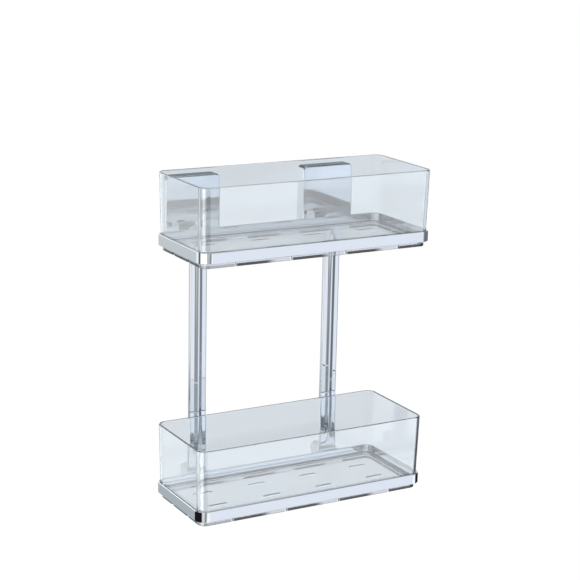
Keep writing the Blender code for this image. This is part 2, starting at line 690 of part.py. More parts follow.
def make_bracket(side, material):
    """Bent sheet: a slotted plate inside the cover, and an arm under it that turns up behind the post."""
    bm = bmesh.new()
    half = BRACKET_HALF
    arm = POST_INNER_WIDTH / 2
    side_view = bracket_side_view()
    corner = COVER_CORNER_RADIUS - COVER_WALL - SEAT_GAP
    outline = [(arm, -half), (half, -half)]
    outline += arc(half - corner, half - corner, corner, 0, 90, SMALL_CORNER_STEPS)
    outline += arc(corner - half, half - corner, corner, 90, 180, SMALL_CORNER_STEPS)
    outline += [(-half, -half), (-arm, -half)]
    opening = slot(0.0, 0.0, BRACKET_SLOT_LENGTH, STUD_DIAMETER + 2 * HOLE_CLEARANCE)
    faces = []
    for y in (BRACKET_REAR_Y, BRACKET_FRONT_Y):
        faces.append([new_loop(bm, [(u, y, v) for u, v in loop]) for loop in (outline, opening)])
    rear, front = faces
    for index in range(len(outline) - 1):
        quad = (rear[0][index], rear[0][index + 1], front[0][index + 1], front[0][index])
        bm.faces.new(quad)
    bridge(bm, rear[1], front[1])
    for loops in faces:
        fill(bm, loops[0], [loops[1]])

    right = [front[0][0], rear[0][0]] + new_loop(bm, [(arm, y, z) for y, z in side_view[2:]])
    left = [front[0][-1], rear[0][-1]] + new_loop(bm, [(-arm, y, z) for y, z in side_view[2:]])
    for index in range(1, len(side_view)):
        after = (index + 1) % len(side_view)
        bm.faces.new((right[index], right[after], left[after], left[index]))
    fill(bm, right)
    fill(bm, left)
    bracket = finish_object(f"{side}_bracket", bm, (SIDES[side], 0.0, 0.0), material)

    holes = bmesh.new()
    for offset, bore in screw_bores("upper"):
        profile = [(bore, ARM_FRONT_Y - POST_SHEET), (bore, ARM_REAR_Y + POST_SHEET)]
        add_turned_cutter(holes, offset, TIERS["upper"] + SCREW_LEVEL, profile)
    cut(bracket, f"{side}_bracket_holes", holes)


def make_washer(side, material):
    outline = circle(0, 0, WASHER_DIAMETER / 2)
    bore = circle(0, 0, STUD_DIAMETER / 2 + HOLE_CLEARANCE)
    near = WASHER_REAR_Y
    location = (SIDES[side], 0.0, 0.0)
    plate(f"{side}_washer", outline, [bore], near, near - WASHER_THICKNESS, facing_wall, location, material)


def make_nut(side, material):
    outline = circle(0, 0, NUT_ACROSS_FLATS / math.sqrt(3), HEX_SIDES)
    bore = circle(0, 0, STUD_DIAMETER / 2 + HOLE_CLEARANCE)
    location = (SIDES[side], 0.0, 0.0)
    plate(f"{side}_nut", outline, [bore], NUT_REAR_Y, NUT_FRONT_Y, facing_wall, location, material)


def make_cover(side, material):
    """A square cap, open at the back and below, that slides down over the bracket's plate."""
    half = COVER_SIZE / 2
    inner = half - COVER_WALL
    edge = COVER_EDGE_ROUND
    radius = COVER_CORNER_RADIUS
    rib_front = BRACKET_FRONT_Y - SEAT_GAP - COVER_RIB_THICKNESS
    rib_rear = BRACKET_FRONT_Y - SEAT_GAP
    rib_reach = inner - COVER_RIB_DEPTH

    bm = bmesh.new()

    def cap_outline(reach, corner):
        """The outline above an open bottom: up the right side, over the top, down the left."""
        points = [(reach, -half)]
        points += arc(reach - corner, reach - corner, corner, 0, 90, SMALL_CORNER_STEPS)
        points += arc(-reach + corner, reach - corner, corner, 90, 180, SMALL_CORNER_STEPS)
        points.append((-reach, -half))
        return points

    shell = [(inner, radius - COVER_WALL, COVER_REAR_Y), (half, radius, COVER_REAR_Y)]
    for inset, lift in arc(edge, edge, edge, 180, 270, EDGE_STEPS + 1):
        shell.append((half - inset, radius - inset, COVER_FRONT_Y + lift))
    inside = [
        (inner, radius - COVER_WALL, COVER_FRONT_Y + COVER_WALL),
        (inner, radius - COVER_WALL, rib_front),
        (rib_reach, radius - COVER_WALL, rib_front),
        (rib_reach, radius - COVER_WALL, rib_rear),
        (inner, radius - COVER_WALL, rib_rear),
    ]

    def cap_loop(reach, corner, y):
        return new_loop(bm, [(u, y, v) for u, v in cap_outline(reach, corner)])

    def strip(first, second):
        for index in range(len(first) - 1):
            bm.faces.new((first[index], first[index + 1], second[index + 1], second[index]))

    loops = [cap_loop(*row) for row in shell]
    hollow = [cap_loop(*row) for row in inside]
    for first, second in zip(loops, loops[1:]):
        strip(first, second)
    for first, second in zip(hollow, hollow[1:]):
        strip(first, second)
    strip(hollow[-1], loops[0])
    fill(bm, loops[-1])
    fill(bm, hollow[0])
    right_end = [loop[0] for loop in loops] + [loop[0] for loop in hollow]
    left_end = [loop[-1] for loop in loops] + [loop[-1] for loop in hollow]
    cross = [loops[-1][0], loops[-1][-1], hollow[0][-1], hollow[0][0]]
    fill(bm, right_end)
    fill(bm, left_end)
    bm.faces.new(cross)
    finish_object(f"{side}_cover", bm, (SIDES[side], 0.0, 0.0), material)


def main():
    clear_scene()
    clear = make_material("clear_plastic", (0.93, 0.96, 0.98), 0.05, transmission=1.0, alpha=0.35)
    chrome = make_material("polished_chrome", (0.86, 0.87, 0.88), 0.05, metallic=1.0)
    zinc = make_material("zinc_plated_steel", (0.62, 0.63, 0.64), 0.35, metallic=1.0)
    moulded = make_material("white_plastic", (0.86, 0.86, 0.85), 0.45)
    foam = make_material("foam_tape", (0.80, 0.80, 0.79), 0.85)
    rubber = make_material("clear_grey_rubber", (0.70, 0.72, 0.74), 0.45)

    for tier in TIERS:
        make_tray(tier, clear)
        make_frame(tier, chrome)
        for side in SIDES:
            make_spacer(tier, side, chrome)
    for side in SIDES:
        make_post(side, chrome)
        make_upper_screws(side, zinc)
        make_foot_screw(side, zinc)
        make_standoff(side, moulded)
        make_buffer(side, rubber)
        make_adhesive_pad(side, foam)
        make_wall_plate(side, moulded)
        make_stud(side, zinc)
        make_bracket(side, zinc)
        make_washer(side, zinc)
        make_nut(side, zinc)
        make_cover(side, chrome)


main()
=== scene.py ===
# %% [markdown]
# # Dressing a two-tier wall shelf
#
# The frame that is loaded first holds every piece of the shelf at its real size: two clear trays, two
# chromed frames, two pressed posts, and the fixings behind them. Its solids are plain and faceted. In
# this lesson each one gets a fine surface in its place, and then a finish. Mirror metal and clear plastic
# show every flaw in a mesh, so the care goes into round edges and even normals.

# %% Load the frame
import math

import bmesh
import bpy
from mathutils import Matrix, Vector


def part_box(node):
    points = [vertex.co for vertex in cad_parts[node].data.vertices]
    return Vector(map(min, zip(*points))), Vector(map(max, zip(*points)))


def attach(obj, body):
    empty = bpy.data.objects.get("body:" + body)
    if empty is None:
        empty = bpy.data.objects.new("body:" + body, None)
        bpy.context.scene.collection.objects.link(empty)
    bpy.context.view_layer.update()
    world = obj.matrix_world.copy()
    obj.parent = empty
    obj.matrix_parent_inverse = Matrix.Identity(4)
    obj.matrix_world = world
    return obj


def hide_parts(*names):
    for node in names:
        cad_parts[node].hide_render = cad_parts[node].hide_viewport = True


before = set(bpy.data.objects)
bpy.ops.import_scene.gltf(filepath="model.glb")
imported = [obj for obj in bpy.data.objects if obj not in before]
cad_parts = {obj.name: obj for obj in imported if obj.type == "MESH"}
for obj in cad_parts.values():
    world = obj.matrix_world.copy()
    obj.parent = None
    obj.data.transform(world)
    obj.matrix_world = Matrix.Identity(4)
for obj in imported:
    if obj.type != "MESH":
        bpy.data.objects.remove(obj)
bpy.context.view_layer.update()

# %% [markdown]
# ## The camera
#
# The shelf is seen from the left and a little above. A long lens from about 1.7 m keeps the upright lines
# nearly parallel. The camera's three axes are worked out from its angles and written into its matrix, which
# is exact. A constraint that tracks an empty would do as well, but it can't hold the slight roll.

# %% Camera
CAMERA_AZIMUTH = math.radians(-29.39)
CAMERA_ELEVATION = math.radians(14.30)
CAMERA_ROLL = math.radians(1.23)
CAMERA_DISTANCE = 1.7456
CAMERA_TARGET = Vector((-0.0046, -0.089, -0.0847))
CAMERA_LENS = 102.72

back = Vector((
    math.sin(CAMERA_AZIMUTH) * math.cos(CAMERA_ELEVATION),
    -math.cos(CAMERA_AZIMUTH) * math.cos(CAMERA_ELEVATION),
    math.sin(CAMERA_ELEVATION),
))
level_right = (-back).cross(Vector((0, 0, 1))).normalized()
level_up = level_right.cross(-back)
right = level_right * math.cos(CAMERA_ROLL) + level_up * math.sin(CAMERA_ROLL)
up = level_up * math.cos(CAMERA_ROLL) - level_right * math.sin(CAMERA_ROLL)

camera_data = bpy.data.cameras.new("camera")
camera_data.lens = CAMERA_LENS
camera = bpy.data.objects.new("camera", camera_data)
bpy.context.collection.objects.link(camera)
turn = Matrix((right, up, back)).transposed().to_4x4()
camera.matrix_world = Matrix.Translation(CAMERA_TARGET + back * CAMERA_DISTANCE) @ turn
bpy.context.scene.camera = camera
print("camera at", tuple(round(value, 3) for value in camera.matrix_world.translation))

# %% [markdown]
# ## Working in edit mode from a script
#
# By hand one clicks a face and presses a key. A script has no mouse, so it picks elements by a test of their
# place and direction, and then calls the same operators. An operator acts on all that is selected, and the
# frame's nodes arrive selected, so every helper deselects first.

# %% Helpers for picking
NEAR = 0.00002


def near(first, second):
    return abs(first - second) < NEAR


def to_object_mode():
    if bpy.context.mode != "OBJECT":
        bpy.ops.object.mode_set(mode="OBJECT")


def activate(piece):
    """Leave edit mode and make one piece the only selected and active one."""
    to_object_mode()
    bpy.ops.object.select_all(action="DESELECT")
    piece.select_set(True)
    bpy.context.view_layer.objects.active = piece


def pick(piece, kind, test):
    """Open a piece's mesh and select what passes test(middle, direction); kind is VERT, EDGE or FACE."""
    if bpy.context.mode != "EDIT_MESH" or bpy.context.object is not piece:
        activate(piece)
        bpy.ops.object.mode_set(mode="EDIT")
    bpy.ops.mesh.select_mode(type=kind)
    bpy.ops.mesh.select_all(action="DESELECT")
    mesh = bmesh.from_edit_mesh(piece.data)
    if kind == "VERT":
        rows = [(vert, vert.co, vert.normal) for vert in mesh.verts]
    elif kind == "EDGE":
        rows = []
        for edge in mesh.edges:
            start, end = edge.verts
            rows.append((edge, (start.co + end.co) / 2, (end.co - start.co).normalized()))
    else:
        rows = [(face, face.calc_center_median(), face.normal) for face in mesh.faces]
    found = [element for element, middle, direction in rows if test(middle, direction)]
    for element in found:
        element.select_set(True)
    mesh.select_flush_mode()
    bmesh.update_edit_mesh(piece.data)
    if not found:
        raise ValueError(f"nothing on {piece.name} passes the test")
    return len(found)


# %% [markdown]
# ## Blocks, rods and the usual operators
#
# Most pieces of the shelf start as a block or a rod. The primitive is placed, and its place is applied to its
# mesh at once, so that the object itself stays at the origin and its measures can be read straight off.

# %% Helpers that add and shape
def placed(name):
    """Write the new primitive's place into its mesh and name it."""
    bpy.ops.object.transform_apply(location=True, rotation=True, scale=True)
    piece = bpy.context.object
    piece.name = name
    piece.data.name = name
    return piece


def add_block(name, low, high):
    to_object_mode()
    bpy.ops.object.select_all(action="DESELECT")
    bpy.ops.mesh.primitive_cube_add(size=1.0, location=(low + high) / 2, scale=high - low)
    return placed(name)


def add_rod(name, radius, start, end, sides=64):
    """A cylinder along Y, from one point on its axis to another; with six sides its corners lie along X."""
    to_object_mode()
    bpy.ops.object.select_all(action="DESELECT")
    bpy.ops.mesh.primitive_cylinder_add(
        vertices=sides,
        radius=radius,
        depth=end.y - start.y,
        location=(start + end) / 2,
        rotation=(math.pi / 2, math.pi / 2, 0),
    )
    return placed(name)


def round_off(width, segments):
    bpy.ops.mesh.bevel(offset=width, segments=segments, profile=0.5, affect="EDGES", clamp_overlap=False)


def inset(width):
    bpy.ops.mesh.inset(thickness=width, depth=0.0, use_even_offset=True)


def extrude(x=0.0, y=0.0, z=0.0):
    bpy.ops.mesh.extrude_region_move(TRANSFORM_OT_translate={"value": (x, y, z)})


def resize(centre, x=1.0, y=1.0, z=1.0):
    bpy.ops.transform.resize(value=(x, y, z), center_override=centre)


def apply_modifier(piece, kind, **settings):
    """Add a modifier with these settings and apply it."""
    activate(piece)
    modifier = piece.modifiers.new(kind.lower(), kind)
    for name, value in settings.items():
        setattr(modifier, name, value)
    bpy.ops.object.modifier_apply(modifier=modifier.name)


def combine(piece, operation, *others):
    """Cut other closed shapes out of a piece, or weld them to it, and remove them."""
    for other in others:
        apply_modifier(piece, "BOOLEAN", operation=operation, solver="EXACT", object=other)
        bpy.data.objects.remove(other, do_unlink=True)


def smooth(piece, angle=35.0):
    """Shade rounds smooth and keep flats flat, by giving large faces more say in the normals."""
    activate(piece)
    bpy.ops.object.shade_smooth_by_angle(angle=math.radians(angle))
    apply_modifier(piece, "WEIGHTED_NORMAL", keep_sharp=True, weight=80)
    return piece


def copy_of(piece, name, shift):
    """Copy a piece with a mesh of its own, and move the copy."""
    activate(piece)
    bpy.ops.object.duplicate(linked=False)
    twin = bpy.context.object
    bpy.ops.transform.translate(value=shift)
    bpy.ops.object.transform_apply(location=True, rotation=False, scale=False)
    twin.name = name
    twin.data.name = name
    return twin


def along_x(direction):
    return abs(direction.x) > 0.9


def along_y(direction):
    return abs(direction.y) > 0.9


def along_z(direction):
    return abs(direction.z) > 0.9


# %% [markdown]
# ## Distances that the pieces share
#
# The frame gives each node's corners. From a few of them follow the step from one tier to the next and from
# the left fixing to the right one, so a piece is shaped once and copied over those steps.

# %% Shared distances
SEAT_GAP = 0.0003
HOLE_CLEARANCE = 0.0003

tray_low, tray_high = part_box("upper_tray")
band_low, band_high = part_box("upper_frame")
TIER_STEP = Vector((0, 0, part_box("lower_tray")[0].z - tray_low.z))
SIDE_STEP = Vector((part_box("right_cover")[0].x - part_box("left_cover")[0].x, 0, 0))
left_x = (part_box("left_cover")[0].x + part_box("left_cover")[1].x) / 2
screw_level = (band_low.z + band_high.z) / 2
print("tier step", round(TIER_STEP.z, 4), "side step", round(SIDE_STEP.x, 4))
print("left post at", round(left_x, 4), "screws at", round(screw_level, 4))

# %% [markdown]
# ## The clear tray
#
# The tray is one moulding with a wall of 2.4 mm that leans in a little towards the bottom, so that it lets go
# of the mould. It could be made from a flat outline and a Solidify modifier, but then the floor, the seat and
# the foot would all share one thickness. Here a block is shaped instead, the way a toolmaker cuts the mould:
# lean the sides, round the corners, press the hollow in from above and the foot out from below.

# %% Tray: outer form and hollow
TRAY_WALL = 0.0024
TRAY_DRAFT = 0.0016
TRAY_CORNER = 0.0100
FLOOR_THICKNESS = 0.0024
FLOOR_FILLET = 0.0020
LEDGE_THICKNESS = 0.0016
LEDGE_WIDTH = 0.0019
FOOT_WALL = 0.0020
FOOT_STEP = 0.0017
RIM_ROUND = 0.0009
EDGE_SOFTENING = 0.0003

seat = band_low.z + LEDGE_THICKNESS + SEAT_GAP
floor_top = seat
tray_middle = (tray_low + tray_high) / 2
tray_half = (tray_high - tray_low) / 2

tray = add_block("upper_tray_clear", Vector((tray_low.x, tray_low.y, seat)), tray_high)
pick(tray, "VERT", lambda place, direction: near(place.z, seat))
resize(tray_middle, x=1 - TRAY_DRAFT / tray_half.x, y=1 - TRAY_DRAFT / tray_half.y)
pick(tray, "EDGE", lambda place, direction: along_z(direction))
round_off(TRAY_CORNER, 16)

pick(tray, "FACE", lambda place, direction: direction.z > 0.9)
inset(TRAY_WALL)
extrude(z=floor_top - tray_high.z)
inner_half = tray_half - Vector((TRAY_WALL, TRAY_WALL, 0))
resize(tray_middle, x=1 - TRAY_DRAFT / inner_half.x, y=1 - TRAY_DRAFT / inner_half.y)
pick(tray, "FACE", lambda place, direction: direction.z > 0.9 and near(place.z, floor_top))
bpy.ops.mesh.region_to_loop()
round_off(FLOOR_FILLET, 5)
print("tray hollow is", round(2000 * inner_half.x, 1), "mm long at the rim")

# %% [markdown]
# ## The foot under the tray
#
# Below the seat the tray steps in and goes on down as a thin foot, which passes through the chromed frame
# and shows as a clear edge beneath it. The hollow inside the foot could be left out, since it is rarely
# seen, but clear plastic shows its inside, and a solid foot would look like a slab of ice.

# %% Tray: foot, rim and softened edges
pick(tray, "FACE", lambda place, direction: direction.z < -0.9)
inset(FOOT_STEP)
extrude(z=tray_low.z - seat)
inset(FOOT_WALL)
extrude(z=floor_top - FLOOR_THICKNESS - tray_low.z)
bpy.ops.mesh.region_to_loop()
round_off(2 * EDGE_SOFTENING, 3)
pick(tray, "FACE", lambda place, direction: direction.z < -0.9 and near(place.z, seat))
bpy.ops.mesh.region_to_loop()
round_off(EDGE_SOFTENING, 2)
pick(tray, "EDGE", lambda place, direction: near(place.z, tray_low.z))
round_off(EDGE_SOFTENING, 2)
pick(tray, "EDGE", lambda place, direction: near(place.z, tray_high.z))
round_off(RIM_ROUND, 4)
print("tray has", len(bmesh.from_edit_mesh(tray.data).faces), "faces before its floor is worked")

# %% [markdown]
# ## The raised floor, its slots and the notches in the foot
#
# The floor has a panel with round corners that stands 0.6 mm proud of a shallow gutter. Eight slots let
# water through, and notches let it out from under the foot: open ones at the two ends, and no more than slits
# in front and behind. A slot could be cut face by face, but a cutter taken away with a Boolean is quicker and
# keeps its shape when it is copied. The cutter's top flares out, so that each slot gets the soft edge that a
# moulded one has.

# %% Tray: raised panel
PANEL_INSET = 0.0085
PANEL_RISE = 0.0006
PANEL_CORNER = 0.0080
SINK = 0.0005

panel_half = tray_half - Vector((1, 1, 0)) * (TRAY_DRAFT + TRAY_WALL + PANEL_INSET)
panel_low = Vector((-panel_half.x, tray_middle.y - panel_half.y, floor_top - SINK))
panel_high = Vector((panel_half.x, tray_middle.y + panel_half.y, floor_top + PANEL_RISE))
panel = add_block("panel", panel_low, panel_high)
pick(panel, "EDGE", lambda place, direction: along_z(direction))
round_off(PANEL_CORNER, 12)
pick(panel, "EDGE", lambda place, direction: near(place.z, panel_high.z))
round_off(PANEL_RISE - NEAR, 3)
combine(tray, "UNION", panel)
print("panel is", round(2000 * panel_half.x, 1), "by", round(2000 * panel_half.y, 1), "mm")

# %% Tray: slots
SLOT_LENGTH = 0.020
SLOT_WIDTH = 0.0026
SLOT_FLARE = 0.0003
SLOT_PITCH_X = 0.064
SLOT_PITCH_Y = 0.036
SLOT_COLUMNS = 4
SLOT_ROWS = 2
OVERCUT = 0.001

columns = [(column - (SLOT_COLUMNS - 1) / 2) * SLOT_PITCH_X for column in range(SLOT_COLUMNS)]
rows = [(row - (SLOT_ROWS - 1) / 2) * SLOT_PITCH_Y for row in range(SLOT_ROWS)]
slot_half = Vector((SLOT_LENGTH / 2, SLOT_WIDTH / 2, 0))
slot_foot = Vector((0, tray_middle.y, floor_top - FLOOR_THICKNESS - OVERCUT))
slot_head = Vector((0, tray_middle.y, panel_high.z - SLOT_FLARE))
slot_cutter = add_block("slot_cutter", slot_foot - slot_half, slot_head + slot_half)
pick(slot_cutter, "EDGE", lambda place, direction: along_z(direction))
round_off(SLOT_WIDTH / 2 - NEAR, 8)
pick(slot_cutter, "FACE", lambda place, direction: direction.z > 0.9)
extrude(z=SLOT_FLARE)
resize(slot_head, x=1 + SLOT_FLARE / slot_half.x, y=1 + SLOT_FLARE / slot_half.y)
extrude(z=OVERCUT)

cutters = []
for x in columns:
    for y in rows:
        cutters.append(copy_of(slot_cutter, "slot_cutter", (x, y, 0)))
bpy.data.objects.remove(slot_cutter, do_unlink=True)
print("slots:", len(cutters))

# %% Tray: notches
SIDE_NOTCH_WIDTH = 0.0044
FRONT_NOTCH_WIDTH = 0.0014
NOTCH_HEIGHT = 0.0042


def notch_cutter(x, y, half_x, half_y):
    """A block round this place that cuts a notch up from the foot's lower edge."""
    middle = tray_middle + Vector((x, y, 0))
    low = Vector((middle.x - half_x, middle.y - half_y, tray_low.z - OVERCUT))
    high = Vector((middle.x + half_x, middle.y + half_y, tray_low.z + NOTCH_HEIGHT))
    return add_block("notch_cutter", low, high)


reach = (FOOT_STEP + TRAY_DRAFT + FOOT_WALL + OVERCUT) / 2
for x in columns:
    for side in (-1, 1):
        cutters.append(notch_cutter(x, side * (tray_half.y - reach), FRONT_NOTCH_WIDTH / 2, reach))
for y in rows:
    for side in (-1, 1):
        cutters.append(notch_cutter(side * (tray_half.x - reach), y, reach, SIDE_NOTCH_WIDTH / 2))

activate(cutters[0])
for cutter in cutters[1:]:
    cutter.select_set(True)
bpy.ops.object.join()
combine(tray, "DIFFERENCE", bpy.context.object)
upper_tray = smooth(tray)
lower_tray = copy_of(upper_tray, "lower_tray_clear", TIER_STEP)
print("slots and notches:", len(cutters), "tray faces:", len(upper_tray.data.polygons))

# %% [markdown]
# ## The chromed frame
#
# A flat band runs round the tray, and a ledge inside its lower edge carries the tray. On the real shelf it is
# a bent and welded strip. A curve with a profile could follow the same way round, but a block keeps the outer
# sizes in sight: round its corners, sink its top to the ledge, open the middle and bridge the two rims.

# %% Frame
FRAME_WALL = 0.0021
FRAME_CORNER = 0.0125
FRAME_SOFTENING = 0.0005

band = add_block("upper_frame_band", band_low, band_high)
pick(band, "EDGE", lambda place, direction: along_z(direction))
round_off(FRAME_CORNER, 24)
pick(band, "FACE", lambda place, direction: direction.z > 0.9)
inset(FRAME_WALL)
extrude(z=band_low.z + LEDGE_THICKNESS - band_high.z)
inset(LEDGE_WIDTH)
bpy.ops.mesh.delete(type="FACE")
pick(band, "FACE", lambda place, direction: direction.z < -0.9)
inset(FRAME_WALL + LEDGE_WIDTH)
bpy.ops.mesh.delete(type="FACE")
bpy.ops.mesh.select_mode(type="EDGE")
bpy.ops.mesh.select_non_manifold()
bpy.ops.mesh.bridge_edge_loops()
pick(band, "EDGE", lambda place, direction: near(place.z, band_high.z))
round_off(FRAME_SOFTENING, 4)
pick(band, "FACE", lambda place, direction: direction.z < -0.9 and near(place.z, band_low.z))
bpy.ops.mesh.region_to_loop()
round_off(FRAME_SOFTENING, 4)
upper_frame = smooth(band)
lower_frame = copy_of(upper_frame, "lower_frame_band", TIER_STEP)
print("frame faces:", len(upper_frame.data.polygons))

# %% [markdown]
# ## The pressed post
#
# Each post is a strip of sheet with its edges turned back and a round rib pressed up the middle, which fades
# out before the ends. Mirror metal shows the least kink, so the rib must be a smooth wave. Moving rows of
# points by hand would leave steps. A fine grid is pushed forward by a Displace modifier instead, with the
# wave written as weights in a vertex group. A spin then rolls the edges back, and Solidify gives the sheet.

# %% Post
POST_SHEET = 0.0015
POST_FLANGE_DEPTH = 0.0034
POST_ROLL = 0.0012
RIB_WIDTH = 0.0104
RIB_RUN_OUT = 0.0140
RIB_START = 0.0045
SPACER_RISE = 0.0025
GRID_STEP_ACROSS = 0.0004
GRID_STEP_ALONG = 0.0020

post_low, post_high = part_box("left_post")
post_front = post_high.y - POST_FLANGE_DEPTH
rib_height = post_front - post_low.y
post_width = post_high.x - post_low.x
flat_width = post_width - 2 * POST_ROLL
post_length = post_high.z - post_low.z
rib_low = band_high.z + TIER_STEP.z + SPACER_RISE + RIB_START
rib_high = band_low.z - SPACER_RISE - RIB_START

to_object_mode()
bpy.ops.object.select_all(action="DESELECT")
bpy.ops.mesh.primitive_grid_add(
    x_subdivisions=round(flat_width / GRID_STEP_ACROSS),
    y_subdivisions=round(post_length / GRID_STEP_ALONG),
    size=1.0,
    location=(left_x, post_front, (post_low.z + post_high.z) / 2),
    rotation=(math.pi / 2, 0, 0),
)
bpy.context.object.scale = (flat_width, post_length, 1.0)
post = placed("left_post_strip")


def rib_share(place):
    """How far the rib stands out at a point, from 0 on the flats to 1 on its crest."""
    across = (place.x - left_x) / RIB_WIDTH
    if abs(across) > 0.5:
        return 0.0
    along = min(place.z - rib_low, rib_high - place.z) / RIB_RUN_OUT
    along = min(max(along, 0.0), 1.0)
    return (1 + math.cos(2 * math.pi * across)) / 2 * along * along * (3 - 2 * along)


rib = post.vertex_groups.new(name="rib")
for vert in post.data.vertices:
    rib.add([vert.index], rib_share(vert.co), "REPLACE")
apply_modifier(
    post, "DISPLACE", direction="Y", strength=-rib_height, mid_level=0.0, vertex_group="rib"
)

for side in (-1, 1):
    edge_x = left_x + side * flat_width / 2
    pick(post, "EDGE", lambda place, direction: near(place.x, edge_x))
    bpy.ops.mesh.spin(
        steps=5,
        angle=-side * math.pi / 2,
        center=(edge_x, post_front + POST_ROLL, 0),
        axis=(0, 0, 1),
    )
    bpy.ops.mesh.extrude_edges_move(
        TRANSFORM_OT_translate={"value": (0, POST_FLANGE_DEPTH - POST_ROLL, 0)}
    )
bpy.ops.mesh.select_all(action="SELECT")
bpy.ops.mesh.remove_doubles(threshold=NEAR / 2)
bpy.ops.mesh.normals_make_consistent(inside=False)
apply_modifier(post, "SOLIDIFY", thickness=POST_SHEET, offset=-1.0, use_even_offset=True)
print("post spans", [round(1000 * value, 2) for value in post.dimensions], "mm")

# %% [markdown]
# ## Screw holes
#
# Two small screws hold each post to the upper frame and a larger one holds it to the lower frame. Their
# places are read from the frame's own screws, so a hole can't drift away from what passes through it.

# %% Post: screw holes
SMALL_SHANK = 0.0015
FOOT_SHANK = 0.0020
SMALL_BORE = SMALL_SHANK + HOLE_CLEARANCE
FOOT_BORE = FOOT_SHANK + HOLE_CLEARANCE


def middle_of(node):
    low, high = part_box(node)
    return (low + high) / 2


def bore_cutters(nodes, radius, start_y, end_y):
    """Rods along Y on the axes of these screws, ready to be cut out of a piece."""
    rods = []
    for node in nodes:
        centre = middle_of(node)
        start = Vector((centre.x, start_y, centre.z))
        rods.append(add_rod("bore", radius, start, Vector((centre.x, end_y, centre.z)), sides=32))
    return rods


UPPER_SCREWS = ["left_upper_outer_screw", "left_upper_inner_screw"]
FOOT_SCREW = ["left_lower_screw"]
through = (post_low.y - OVERCUT, post_high.y + OVERCUT)
combine(post, "DIFFERENCE", *bore_cutters(UPPER_SCREWS, SMALL_BORE, *through))
combine(post, "DIFFERENCE", *bore_cutters(FOOT_SCREW, FOOT_BORE, *through))
left_post = smooth(post, 50.0)
right_post = copy_of(left_post, "right_post_strip", SIDE_STEP)
print("post faces:", len(left_post.data.polygons))

# %% [markdown]
# ## The blocks behind the frames
#
# A small chromed block is fixed to the back of each frame under each post. It is drilled from behind and
# keeps a thin skin in front, which is why no screw shows from the room. A cylinder in a Boolean makes a clean
# blind hole; an inset circle would need the face around it cut up first.

# %% Spacers
SPACER_SKIN = 0.0008
SPACER_CORNER = 0.0015
SMALL_SOFTENING = 0.0003


def rounded_block(name, node, corner, softening, segments=6):
    """A block in a node's box whose edges along Y are rounded and whose two ends are softened."""
    low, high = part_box(node)
    block = add_block(name, low, high)
    pick(block, "EDGE", lambda place, direction: along_y(direction))
    round_off(corner, segments)
    pick(block, "EDGE", lambda place, direction: near(place.y, low.y) or near(place.y, high.y))
    round_off(softening, 2)
    return block


spacers = []
for tier, screws, radius in (("upper", UPPER_SCREWS, SMALL_BORE), ("lower", FOOT_SCREW, FOOT_BORE)):
    low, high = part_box(f"left_{tier}_spacer")
    spacer = rounded_block(f"left_{tier}_spacer_block", f"left_{tier}_spacer", SPACER_CORNER, SMALL_SOFTENING)
    combine(spacer, "DIFFERENCE", *bore_cutters(screws, radius, low.y + SPACER_SKIN, high.y + OVERCUT))
    spacers.append(smooth(spacer))
    spacers.append(copy_of(spacer, f"right_{tier}_spacer_block", SIDE_STEP))
print("spacers:", [piece.name for piece in spacers])

# %% [markdown]
# ## The square covers
#
# A cover is a shallow cap, open behind and below, that slides down over the bracket. It is drawn from sheet,
# so its wall is the same everywhere. That calls for an outer form with round edges, from which the open
# sides are deleted, and a Solidify modifier that adds the wall inwards. A low rib round the inner walls comes
# to rest against the bracket: two cuts mark it out, and its faces are then pushed inwards.

# %% Covers
COVER_WALL = 0.0014
COVER_CORNER = 0.0050
COVER_ROUND = 0.0016
COVER_RIB_DEPTH = 0.0013
COVER_RIB_THICKNESS = 0.0014

cover_low, cover_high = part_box("left_cover")
cover = add_block("left_cover_cap", cover_low, cover_high)
pick(cover, "EDGE", lambda place, direction: along_y(direction) and place.z > 0)
round_off(COVER_CORNER, 12)
pick(cover, "EDGE", lambda place, direction: near(place.y, cover_low.y) and not near(place.z, cover_low.z))
round_off(COVER_ROUND, 6)
pick(cover, "FACE", lambda place, direction: direction.y > 0.9 or direction.z < -0.9)
bpy.ops.mesh.delete(type="FACE")
apply_modifier(cover, "SOLIDIFY", thickness=COVER_WALL, offset=-1.0, use_even_offset=True)

bracket_low, bracket_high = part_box("left_bracket")
bracket_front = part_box("left_washer")[1].y + SEAT_GAP
rib_span = (bracket_front - SEAT_GAP - COVER_RIB_THICKNESS, bracket_front - SEAT_GAP)
for level in rib_span:
    pick(cover, "FACE", lambda place, direction: True)
    bpy.ops.mesh.bisect(plane_co=(left_x, level, 0), plane_no=(0, 1, 0))


def faces_inwards(place, direction):
    """True between the rib's planes on the inner wall, which looks towards the cover's own axis."""
    inwards = direction.x * (place.x - left_x) + direction.z * place.z
    return rib_span[0] < place.y < rib_span[1] and inwards < 0 and place.z > cover_low.z + NEAR


pick(cover, "FACE", faces_inwards)
bpy.ops.mesh.extrude_region_shrink_fatten(TRANSFORM_OT_shrink_fatten={"value": COVER_RIB_DEPTH})
left_cover = smooth(cover, 40.0)
right_cover = copy_of(left_cover, "right_cover_cap", SIDE_STEP)
print("cover spans", [round(1000 * value, 2) for value in left_cover.dimensions], "mm")

# %% [markdown]
# ## The bent bracket
#
# Behind each cover a steel plate hangs on the stud, and a narrow arm leaves its foot, runs forward under the
# cover and turns up behind the post. A bend pressed in sheet is a quarter turn of the strip about a line, so
# the arm grows by the spin operator, which sweeps the end face just as the press does.

# %% Bracket
BRACKET_SHEET = 0.0025
BEND_OUTER = 0.0050
BRACKET_CORNER = COVER_CORNER - COVER_WALL - SEAT_GAP
STUD_RADIUS = 0.0025
STUD_BORE = STUD_RADIUS + HOLE_CLEARANCE
STUD_SLOT = 0.0110

